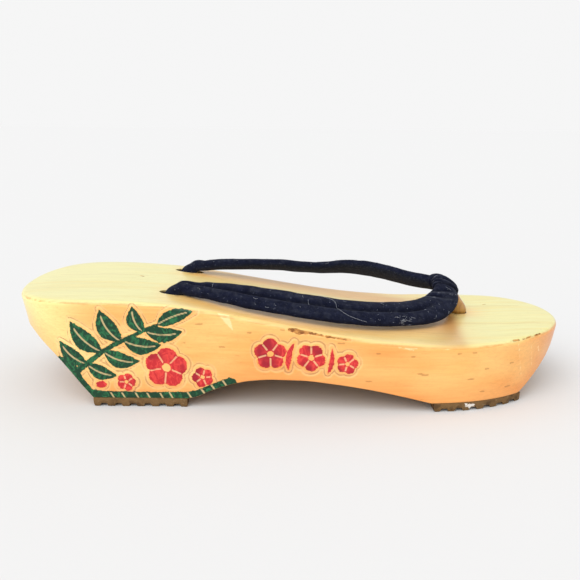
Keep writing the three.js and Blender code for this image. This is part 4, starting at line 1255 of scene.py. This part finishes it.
def stainAndShadowField(x, y):
    # Brown stain and painted shadow on the deck that runs from the post to the outer edge: a bell across
    # its line, narrow on the toe side and wide on the heel side
    u0, w0, u1, w1 = stainAndShadow["line"]
    share = np.clip((y - w0) / (w1 - w0), 0, 1)
    across = x - (u0 + (u1 - u0) * share)
    spread = np.where(across > 0, stainAndShadow["toeSpread"], stainAndShadow["heelSpread"] * (0.6 + 0.4 * share))
    return np.exp(-((across / spread) ** 2)) * smooth(w0 + 3, w0 - 2, y) * np.clip(1.15 - 0.6 * share, 0, 1)


def strapShadeField(x, y):
    # Painted shade of the deck under and beside each strap: a bell around the strap's plan line,
    # narrow on the inside of the V and wide outside it
    line = strapLine(np.linspace(0.02, 0.98, 2 * planSteps))
    shade = np.zeros(len(x))
    for part, side in ((line[:planSteps], 1), (line[planSteps:], -1)):
        order = np.argsort(part[:, 0])
        out = side * (y - np.interp(x, part[order, 0], part[order, 1]))
        reach = np.abs(out) / np.where(out > 0, stainAndShadow["outerSpread"], stainAndShadow["innerSpread"])
        first, last = part[:, 0].min(), part[:, 0].max()
        within = smooth(first - 12, first + 9, x) * smooth(last + 12, last - 8, x)
        shade = np.maximum(shade, np.exp(-(reach ** 2.4)) * within)
    # Painted shade round the post's foot
    shade = np.maximum(shade, 0.75 * np.exp(-(((x - postFoot[0]) ** 2 + y ** 2) / 70)))
    # The same warm, darker tint, weaker, over the middle of the deck
    middleTint = smooth(*stainAndShadow["middleTintHeel"], x) * smooth(*stainAndShadow["middleTintToe"], x)
    shade = np.maximum(shade, stainAndShadow["middleTint"] * middleTint)
    wander = softNoise(np.column_stack([x, y, 0 * x]), 12.0, 41)
    return np.clip(shade * (1 + 0.15 * wander), 0, 1)


# Painted light towards the heel end and painted shade along the lower edge and at the toe end of the
# side, with its middle darker: strength and the two ends of the ramp along the sole, the reach above
# the lower edge, and the middle's strength, place and spread
tone = {
    "heelLight": 0.82, "heelEnds": (46, 2), "waistLight": 0.14, "waistEnds": (118, 60), "lowReach": 15,
    "toeDeep": 1.1, "toeEnds": (208, 240), "middleDeep": 0.5, "middlePlace": 140, "middleSpread": 26,
}


def holeShade(points, drop):
    # Painted shade inside the holes: a smooth step of the depth under the deck, near each hole's axis
    dark = np.zeros(len(points))
    for side in (1, -1):
        mouth, _, axis = rearHole(side)
        along = (points - mouth) @ axis
        reach = np.linalg.norm(points - mouth - along[:, None] * axis, axis=1)
        inside = (reach < hole["rearLength"] / 2 + 0.3) & (drop > 0.1)
        dark = np.maximum(dark, np.where(inside, smooth(0.12, 0.7, drop), 0))
    reach = np.hypot(points[:, 0] - postFoot[0] + post["uprightBend"], points[:, 1])
    return np.maximum(dark, np.where((reach < 9) & (drop > 0.1), smooth(0.1, 0.6, drop), 0))


def soleFields(points):
    # Every field that the wood's material reads, from the depth under the deck, the height over the
    # underside and the distance in from the outline
    x, y, z = points.T
    drop, lift = deckHeight(x) - z, z - underHeight(x)
    edge = halfWidth(np.clip(x, 0.5, soleLength - 0.5)) - np.abs(y - middleLine(x))
    holeShadeMask = holeShade(points, drop)
    wall = (holeShadeMask == 0) & (drop > 0.35) & ((lift > 0.02) | (edge < 2.5)) & ~((lift < 0.03) & (edge > 3.2))
    outer, onDeck = y < middleLine(x), drop < 1.5
    green, red, lines, outlines = paintFields(x, z, outer, wall)
    flecks = [(a - half, b, a + half, b, 0.28, 0.28) for a, b, half in grainFlecks]
    # Painted shade along the lower edge and at the toe end, darker around the middle of the side, and painted
    # light towards the heel end
    middle = np.exp(-(((x - tone["middlePlace"]) / tone["middleSpread"]) ** 2))
    deep = tone["toeDeep"] * smooth(*tone["toeEnds"], x) + tone["middleDeep"] * middle
    heel = tone["heelLight"] * smooth(*tone["heelEnds"], x)
    return {
        "greenEdge": green, "redEdge": red, "lineEdge": lines, "outlineEdge": outlines,
        "flakeEdge": strokeField(x, z, flakeStrokes + rimStrokes(), outer & (drop < 12) & (edge < 2.0)),
        "fleckEdge": strokeField(x, z, flecks, wall & outer),
        "paleEdge": strokeField(x, z, paleStrokes, wall & outer),
        "holeShadeMask": holeShadeMask, "deckness": smooth(1.5, 0.5, drop),
        "paintedLight": heel + tone["waistLight"] * smooth(*tone["waistEnds"], x),
        "low": np.maximum(smooth(tone["lowReach"], 0, lift), deep),
        "rimEdge": np.where(holeShadeMask > 0, decoration["far"], np.abs(drop - 1.15)),
        # Stain and painted shadow beside the post, and painted shade under and beside the straps
        "stainAndShadow": stainAndShadowField(x, y) * onDeck, "strapShade": strapShadeField(x, y) * onDeck,
        "underness": smooth(0.25, 0.02, lift) * (edge > 1.0),
    }


def makeSole(material):
    # Carved sole less its three holes, with the material's fields kept on its points
    piece = makePiece("carved_sole", *soleShell())
    cutter = makePiece("holeCutter", *joinParts([rearCutter(1), rearCutter(-1), toeCutter()]))
    cut = piece.modifiers.new("holes", "BOOLEAN")
    cut.operation, cut.solver, cut.object = "DIFFERENCE", "EXACT", cutter
    whole = bpy.data.meshes.new_from_object(piece.evaluated_get(bpy.context.evaluated_depsgraph_get()))
    piece.modifiers.clear()
    piece.data = whole
    bpy.data.objects.remove(cutter)
    for name, values in soleFields(meshPoints(whole)).items():
        setField(whole, name, values)
    shadeMesh(whole, 38)
    finishPiece(piece, material, "sole")


# Rubber treads


def treadPart(start, length):
    # Sections across the sole, one for each place along the tread: the floor side follows the ribs,
    # and the two ends are closed by fans
    grooves = max(1, round((length - tread["ribFoot"]) / tread["ribPitch"]))
    pitch = (length - tread["ribFoot"]) / grooves
    mouth = pitch - tread["ribFoot"]
    flank = mouth * (1 - tread["grooveTop"]) / 2
    x = np.linspace(start, start + length, int(length / tread["step"]))
    floor = np.zeros(len(x))
    for k in range(grooves):
        begin = start + tread["ribFoot"] + k * pitch
        floor += tread["grooveDepth"] * smooth(0, flank, x - begin) * smooth(0, flank, begin + mouth - x)
    early = np.clip((x - start) / (tread["rearEase"] / 2), 0, 1)
    floor += tread["rearEase"] * (1 - np.sqrt(np.clip(1 - (1 - early) ** 2, 0, 1)))
    floor += 0.25 * smooth(0.35, 0, start + length - x)
    top = np.full(len(x), treadTop - 0.02)
    low, high = np.array(wallSides(x, 0.0)), np.array(wallSides(x, treadTop))
    columns, flanks = np.linspace(0, 1, 26), (0.12, 0.5, 0.88)

    def across(ends, inset, share, height):
        # Points a share of the way between two walls, each moved in
        near, far = ends[0] + inset, ends[1] - inset
        return np.stack([x, near + share * (far - near), height], -1)

    def up(side, share):
        # Points a share of the way up a side
        y = low[side] + share * (high[side] - low[side])
        return np.stack([x, y, floor + share * (top - floor)], -1)

    ring = [
        *(across(low, 0.3, share, floor) for share in columns),
        *(up(1, share) for share in flanks),
        *(across(high, 0.1, share, top) for share in columns[::-1]),
        *(up(0, share) for share in flanks[::-1]),
    ]
    rings = np.stack(ring, 1)
    points = np.concatenate([rings.reshape(-1, 3), [rings[0].mean(0), rings[-1].mean(0)]])
    return points, gridFaces(*rings.shape[:2]), endFans(*rings.shape[:2])


# Dried glue on the forefoot tread, as strokes
glueSpots = [(187.4, 2.6, 191.0, 2.2, 0.7, 0.5), (189.0, 1.6, 189.6, 1.0, 0.6, 0.4)]


def makeTread(name, node, start, length, material):
    # Ribbed tread with the distance to its dried glue kept on its points
    piece = makePiece(name, *treadPart(start, length), sharp=50)
    x, y, z = meshPoints(piece.data).T
    setField(piece.data, "glueEdge", strokeField(x, z, glueSpots, y < middleLine(x) - 20))
    finishPiece(piece, material, node)


# Velvet straps

# Folds pressed into the straps: place along the line from its inner root, slant, half width, depth.
# A negative place is measured from the outer root.
strapFolds = [
    (7.0, 0.5, 1.0, 0.35), (11.5, -0.4, 1.3, 0.3), (17.5, 0.6, 1.6, 0.22), (96.0, 0.8, 2.2, 0.28),
    (-7.0, 0.4, 1.0, 0.35), (-12.0, -0.5, 1.3, 0.28), (-19.0, 0.5, 1.7, 0.2), (-60.0, 0.9, 2.6, 0.22),
    (-84.0, -0.7, 2.8, 0.22), (-110.0, 0.6, 2.6, 0.25), (70.0, -0.6, 2.4, 0.25),
]
# Folds beside the loop, where the outer strap bends: place along the line from the junction,
# slant, half width, depth
bendFolds = [(8.8, -1.3, 0.95, 1.0), (13.8, -1.5, 1.05, 0.9)]


def strapPart():
    # Both straps as one grid along the line and round the section: the rolls stand proud by noise
    # less a bell-shaped trough at each fold. A fold's crease gets painted shade, with a rubbed ridge
    # beside it that is partly painted sheen.
    t = np.linspace(0, 1, strap["steps"])
    angle = np.linspace(0, 2 * np.pi, strap["sides"], endpoint=False)
    length = lineLengths(t)
    fade = channelShare(t)[:, None]
    plain = strapSection(t, angle, 0.0, fade)
    cos, sin = np.cos(angle)[None], np.sin(angle)[None]
    along = length[:, None] + 0 * cos
    proud = 0.10 * softNoise(plain, 5.0, 21) + 0.02 * softNoise(plain, 1.6, 22) - 0.04
    for place, slant, half, depth in strapFolds:
        start = place if place > 0 else length[-1] + place
        trough = np.exp(-(((along - start - slant * 4 * cos) / half) ** 2))
        proud = proud - depth * trough * (0.55 + 0.45 * sin)
    junction = np.interp(junctionT, t, length)
    inward = smooth(0.9, -0.5, cos * strap["bendSide"])
    rubbedAndSheen, creaseShade = np.zeros_like(along), np.zeros_like(along)
    for place, slant, half, depth in bendFolds:
        away = along - junction - place - slant * 4 * cos
        proud = proud - depth * np.exp(-((away / half) ** 2)) * inward * np.maximum(sin, 0)
        # Painted shade in the crease, and a rubbed ridge beside it that is partly painted sheen
        creaseShade = np.maximum(creaseShade, depth * np.exp(-((away / (0.7 * half)) ** 2)) * inward * (sin > 0))
        ridge = np.exp(-(((away - 1.9 * half) / (0.8 * half)) ** 2)) * inward * (sin > 0)
        rubbedAndSheen = np.maximum(rubbedAndSheen, ridge * (0.10 + 0.75 * smooth(0.3, 0.6, softNoise(plain, 1.1, 35))))
    rolls = strapSection(t, angle, 0.0, fade, proud)
    points = np.concatenate([rolls.reshape(-1, 3), strapLine(t[[0, -1]])])
    _, _, _, width, depth = strapFrame(t)
    full = bandShare(width, depth)[:, None]
    bell = np.exp(-((sectionCurve(cos, full) / 2 / (0.8 * strap["channelShare"])) ** 2))
    # Lining colour underneath, painted shade in the channel between the rolls and in the creases, and rubbed
    # ridges that are partly painted sheen
    fields = {
        "lining": smooth(-0.1, 0.75, -sin) * np.ones_like(along),
        "channel": np.maximum(fade * full * bell * (sin > 0), creaseShade), "rubbedAndSheen": rubbedAndSheen,
    }
    grid = (points, gridFaces(len(t), len(angle)), endFans(len(t), len(angle)))
    return grid, {name: np.concatenate([values.ravel(), [0, 0]]) for name, values in fields.items()}


lint = {
    "count": 170, "seed": 7, "radius": 0.05, "blobCount": 26, "blobSpread": 0.010, "steps": 7, "lift": 0.12,
    "lineLength": 280, "degreesPerMm": 9,
}
# Places where lint gathers: t along the strap line, angle round the section, in degrees
lintPlaces = {
    "blob": (0.628, 40.0),
    "trail": [(0.713, 150.0), (0.699, 118.0), (0.695, 80.0), (0.686, 52.0), (0.669, 22.0)],
}


def fibrePart(t, angle, radius):
    # Thin three-sided thread through places on the strap's face, lying a hair's breadth over it
    centres = strapSection(t, np.radians(angle)[:, None], 0.0, channelShare(t)[:, None], lint["lift"])[:, 0]
    return tubePart(centres, np.full(len(t), radius), 3)


def lintParts():
    # Short fibres at random places, with some of them in one tuft, and one long wavy thread. Each
    # fibre's path is the running sum of a heading that itself wanders.
    rng = np.random.default_rng(lint["seed"])
    parts = []
    steps = lint["steps"]
    for number in range(lint["count"] + lint["blobCount"]):
        inBlob = number >= lint["count"]
        t = rng.uniform(0.06, 0.94)
        angle = rng.uniform(15, 165)
        length = rng.uniform(0.2, 1.0) ** 2 * rng.choice([1.2, 2.6])
        if inBlob:
            t = lintPlaces["blob"][0] + rng.normal(0, lint["blobSpread"] / 2)
            angle = lintPlaces["blob"][1] + rng.normal(0, 12)
            length = rng.uniform(0.8, 2.2)
        heading = rng.uniform(0, 2 * np.pi) + np.cumsum(rng.normal(0, 0.5, steps))
        along = np.cumsum(np.cos(heading)) * length / steps
        turned = np.cumsum(np.sin(heading)) * length / steps
        radius = lint["radius"] * rng.uniform(0.6, 1.3)
        parts.append(fibrePart(t + along / lint["lineLength"], angle + turned * lint["degreesPerMm"], radius))
    trail = np.array(lintPlaces["trail"])
    share = np.linspace(0, len(trail) - 1, 26)
    t, angle = (np.interp(share, np.arange(len(trail)), trail[:, k]) for k in (0, 1))
    wave = np.sin(share * 3.1)
    parts.append(fibrePart(t + 0.0012 * wave, angle + 3 * wave, lint["radius"]))
    return parts


def tailParts(side):
    # Tail of a strap down its hole, and the knot that holds it in its recess
    mouth, outlet, axis = rearHole(side)
    knot = outlet - axis * (hole["recessDepth"] - strap["knotHeight"] / 2 - strap["seatGap"])
    top = mouth - axis * strap["rootDepths"][1] / axis[2] + [strap["rootShifts"][1], 0, 0]
    share = np.linspace(0, 1, 24)[:, None]
    return [tubePart(top + share * (knot - top), np.full(24, strap["tail"] / 2), 28), knotPart(knot, axis)]


def softPiece(name, main, others, fields, material, node):
    # Piece of velvet from a main part, whose points have the fields, and others without them
    points, quads, triangles = joinParts([main, *others])
    piece = makePiece(name, points, quads, triangles)
    for title, values in fields.items():
        setField(piece.data, title, np.concatenate([values, np.zeros(len(points) - len(values))]))
    finishPiece(piece, material, node)
    return piece


def makeStraps(material):
    # Straps, their tails and knots, and the fibres, which alone have the field for lint
    main, fields = strapPart()
    tails, fibres = [*tailParts(1), *tailParts(-1)], lintParts()
    bodyCount = sum(len(part[0]) for part in (main, *tails))
    fibreCount = sum(len(part[0]) for part in fibres)
    fields["lint"] = np.repeat([0, 1], [bodyCount, fibreCount])
    return softPiece("velvet_straps", main, tails + fibres, fields, material, "straps")


# Toe loop, its cord and the toe post

# Folds of the toe loop that gather towards the post: place across the loop from -1 to 1,
# slant, half width, depth
loopFolds = [(-0.42, 0.6, 0.12, 0.9), (0.12, 0.95, 0.12, 1.1), (0.62, 0.9, 0.09, 0.8)]


def loopPart():
    # Band around the junction: an oval wall section carried once around the straps, narrower on the
    # toe side, thin at its edges, pressed in along its folds and fuller between them
    turn = np.linspace(0, 2 * np.pi, loop["steps"], endpoint=False)
    angle = np.linspace(0, 2 * np.pi, loop["sides"], endpoint=False)
    turn, angle = (part.ravel() for part in np.meshgrid(turn, angle, indexing="ij"))
    place, level = (np.sign(part) * np.abs(part) ** 0.9 for part in (np.cos(turn), np.sin(turn)))
    reach = loop["shift"] + place * loop["length"] / 2 * (1 - loop["toeNarrowing"] * (1 + np.cos(angle)) / 2)
    t = tAtDistance(reach)
    fold, ridge, dark = (np.zeros(len(turn)) for _ in range(3))
    for centre, slant, half, depth in loopFolds:
        away = place - centre - slant * 0.4 * np.sin(angle)
        fold += depth * np.exp(-((away / half) ** 2))
        ridge = np.maximum(ridge, np.exp(-(((away - 1.7 * half) / (0.7 * half)) ** 2)))
        # Painted shade in the fold
        dark = np.maximum(dark, depth * np.exp(-((away / (0.8 * half)) ** 2)))
    bulge = loop["bulge"] * np.cos(place * np.pi / 2) * (1 + np.sin(angle)) / 2
    outer = np.maximum(level, 0)
    margin = loop["seat"] + loop["wall"] * outer + np.minimum(level, 0) * 0.3 + outer * (bulge - fold)
    inner, wide = (strapSection(t, angle[:, None], grown)[:, 0] for grown in (0.0, 1.0))
    grid = inner + (wide - inner) * margin[:, None]
    grid += 0.07 * softNoise(grid, 1.8, 31)[:, None] * unit(grid - strapLine(t))
    ridge = ridge * (0.1 + 0.6 * smooth(0.3, 0.7, softNoise(grid, 1.1, 33))) * (level > 0.2)
    quads = closedFaces(loop["steps"], loop["sides"])
    # Rubbed ridges that are partly painted sheen, and painted shade in the folds as the channel field
    return (grid, quads, np.zeros((0, 3), int)), {"rubbedAndSheen": 0.9 * ridge, "channel": dark * (level > 0.2)}


def makeLoop(material):
    # Loop, its cord down the post's axis, and the knot under the sole
    band, fields = loopPart()
    radius = post["diameter"] / 2 - post["wall"] - post["cordClearance"]
    under = junctionPoint - postAxis * (strap["thickness"] / 2 + strap["seatGap"] + 0.4)
    share = np.linspace(0, 1, 30)[:, None]
    cord = tubePart(under + share * (toeKnot - under), np.full(30, radius), 32)
    for title in ("lining", "lint"):
        fields[title] = np.zeros(1)
    others = [cord, knotPart(toeKnot, np.array([0, 0, 1.0]))]
    return softPiece("toe_loop_velvet", band, others, fields, material, "toe_loop")


def uprightShift(rise):
    # The tube bends upright where it meets the deck: a shift towards the heel that is greatest at
    # the deck, falls as a square above it and as a smooth step below it
    above = np.clip(1 - rise / post["bendHeight"], 0, 1) ** 2
    return post["uprightBend"] * above * smooth(-post["straightDepth"], 0, rise)


def makePost(material, above):
    # Tube around the cord: its top edge is cut to the underside of the loop and straps, found by
    # a ray up each side
    graph = bpy.context.evaluated_depsgraph_get()
    trees = [BVHTree.FromObject(piece, graph) for piece in above]
    side, other = aroundAxis(postAxis)
    angle = np.linspace(0, 2 * np.pi, post["sides"], endpoint=False)
    spokes = np.outer(np.cos(angle), side) + np.outer(np.sin(angle), other)
    start = postFoot + postAxis * 1.0
    middle = (post["diameter"] - post["wall"]) / 2
    reach = []
    for spoke in spokes:
        origin = Vector((start + spoke * middle + tipShift) * mm)
        hits = [tree.ray_cast(origin, Vector(postAxis), 0.03)[3] for tree in trees]
        reach.append(1.0 + min([hit / mm for hit in hits if hit] or [post["freeReach"]]) - 0.1)
    reach = np.minimum.reduce([np.roll(reach, k) for k in (-1, 0, 1)])
    outer, inner = post["diameter"] / 2, post["diameter"] / 2 - post["wall"]
    low = -post["seat"]
    # Radius, and height above the foot in millimetres or as a share of the way to the top edge
    profile = [(inner, 0.2, 0), (inner + 0.2, 0, 0), (outer - 0.2, 0, 0), (outer, 0.2, 0)]
    profile += [(outer, share, 1) for share in np.linspace(0.02, 0.96, 30)]
    profile += [(outer - 0.12, 0.995, 1), (inner + 0.12, 0.995, 1)]
    profile += [(inner, share, 1) for share in np.linspace(0.96, 0.02, 10)]
    rows = []
    for radius, place, scaled in profile:
        height = low + place * (reach - low) if scaled else np.full(len(reach), low + place)
        wobble = 1 + 0.012 * np.sin(0.9 * height)
        centre = postFoot + height[:, None] * postAxis
        rise = (centre + radius * spokes)[:, 2] - postFoot[2]
        tuck = 1 - post["footTuck"] * smooth(1.5, -0.1, rise)
        row = centre + (radius * wobble * tuck)[:, None] * spokes
        row[:, 0] -= uprightShift(row[:, 2] - postFoot[2])
        rows.append(row)
    quads = closedFaces(len(rows), len(angle))
    piece = makePiece("toe_post_tube", np.concatenate(rows), quads, sharp=60)
    finishPiece(piece, material, "toe_post")


makeCamera()
print("camera placed")
fineGrain = speckleGroup()
settledDust = dustGroup()
strokeDistance = segmentGroup()
woodFinish = woodMaterial()
velvetFinish = velvetMaterial()
plasticFinish = plasticMaterial()
rubberFinish = rubberMaterial()
print("materials made")
makeSole(woodFinish)
makeTread("heel_tread_rubber", "heel_tread", tread["heelStart"], tread["heelLength"], rubberFinish)
foreTreadStart = foreStart + tread["foreShift"]
makeTread("forefoot_tread_rubber", "forefoot_tread", foreTreadStart, tread["foreLength"], rubberFinish)
strapPiece = makeStraps(velvetFinish)
loopPiece = makeLoop(velvetFinish)
makePost(plasticFinish, [strapPiece, loopPiece])


# Floor and light

studio = {
    "background": 0.92, "sky": 0.97, "floor": 0.628, "floorHalf": 60.0,
    "sun": 2.22, "sunSpread": 60, "sunFrom": (-0.42, -0.80, 0.86),
}


def makeStudio():
    # White surround, seen a little darker than it shines, a pale floor that is clear from below, and
    # one wide sun
    scene = bpy.context.scene
    scene.view_settings.view_transform = "Standard"
    scene.view_settings.look = "None"
    world = bpy.data.worlds.new("studioSurround")
    world.use_nodes = True
    tree = world.node_tree
    seen = addNode(tree, "ShaderNodeLightPath").outputs["Is Camera Ray"]
    level = calc(tree, "MULTIPLY_ADD", seen, studio["background"] - studio["sky"], studio["sky"])
    tree.nodes["Background"].inputs[0].default_value = (1, 1, 1, 1)
    tree.links.new(level, tree.nodes["Background"].inputs[1])
    scene.world = world
    mesh = bpy.data.meshes.new("paleFloor")
    half, shade = studio["floorHalf"], studio["floor"]
    corners = [(-half, -half, 0), (half, -half, 0), (half, half, 0), (-half, half, 0)]
    mesh.from_pydata(corners, [], [(0, 1, 2, 3)])
    floor = bpy.data.objects.new("paleFloor", mesh)
    scene.collection.objects.link(floor)
    material, tree, shader = newMaterial(
        "paleFloor", Base_Color=(shade, shade, shade, 1), Roughness=1.0, Specular_IOR_Level=0.0)
    clear = addNode(tree, "ShaderNodeBsdfTransparent").outputs[0]
    below = addNode(tree, "ShaderNodeNewGeometry").outputs["Backfacing"]
    faces = addNode(tree, "ShaderNodeMixShader", links={0: below, 1: shader.outputs[0], 2: clear})
    tree.links.new(faces.outputs[0], tree.nodes["Material Output"].inputs["Surface"])
    mesh.materials.append(material)
    light = bpy.data.lights.new("softSun", "SUN")
    light.energy = studio["sun"]
    light.angle = math.radians(studio["sunSpread"])
    sun = bpy.data.objects.new("softSun", light)
    sun.rotation_euler = Vector(studio["sunFrom"]).to_track_quat("Z", "Y").to_euler()
    scene.collection.objects.link(sun)
    print("floor and light made")


makeStudio()
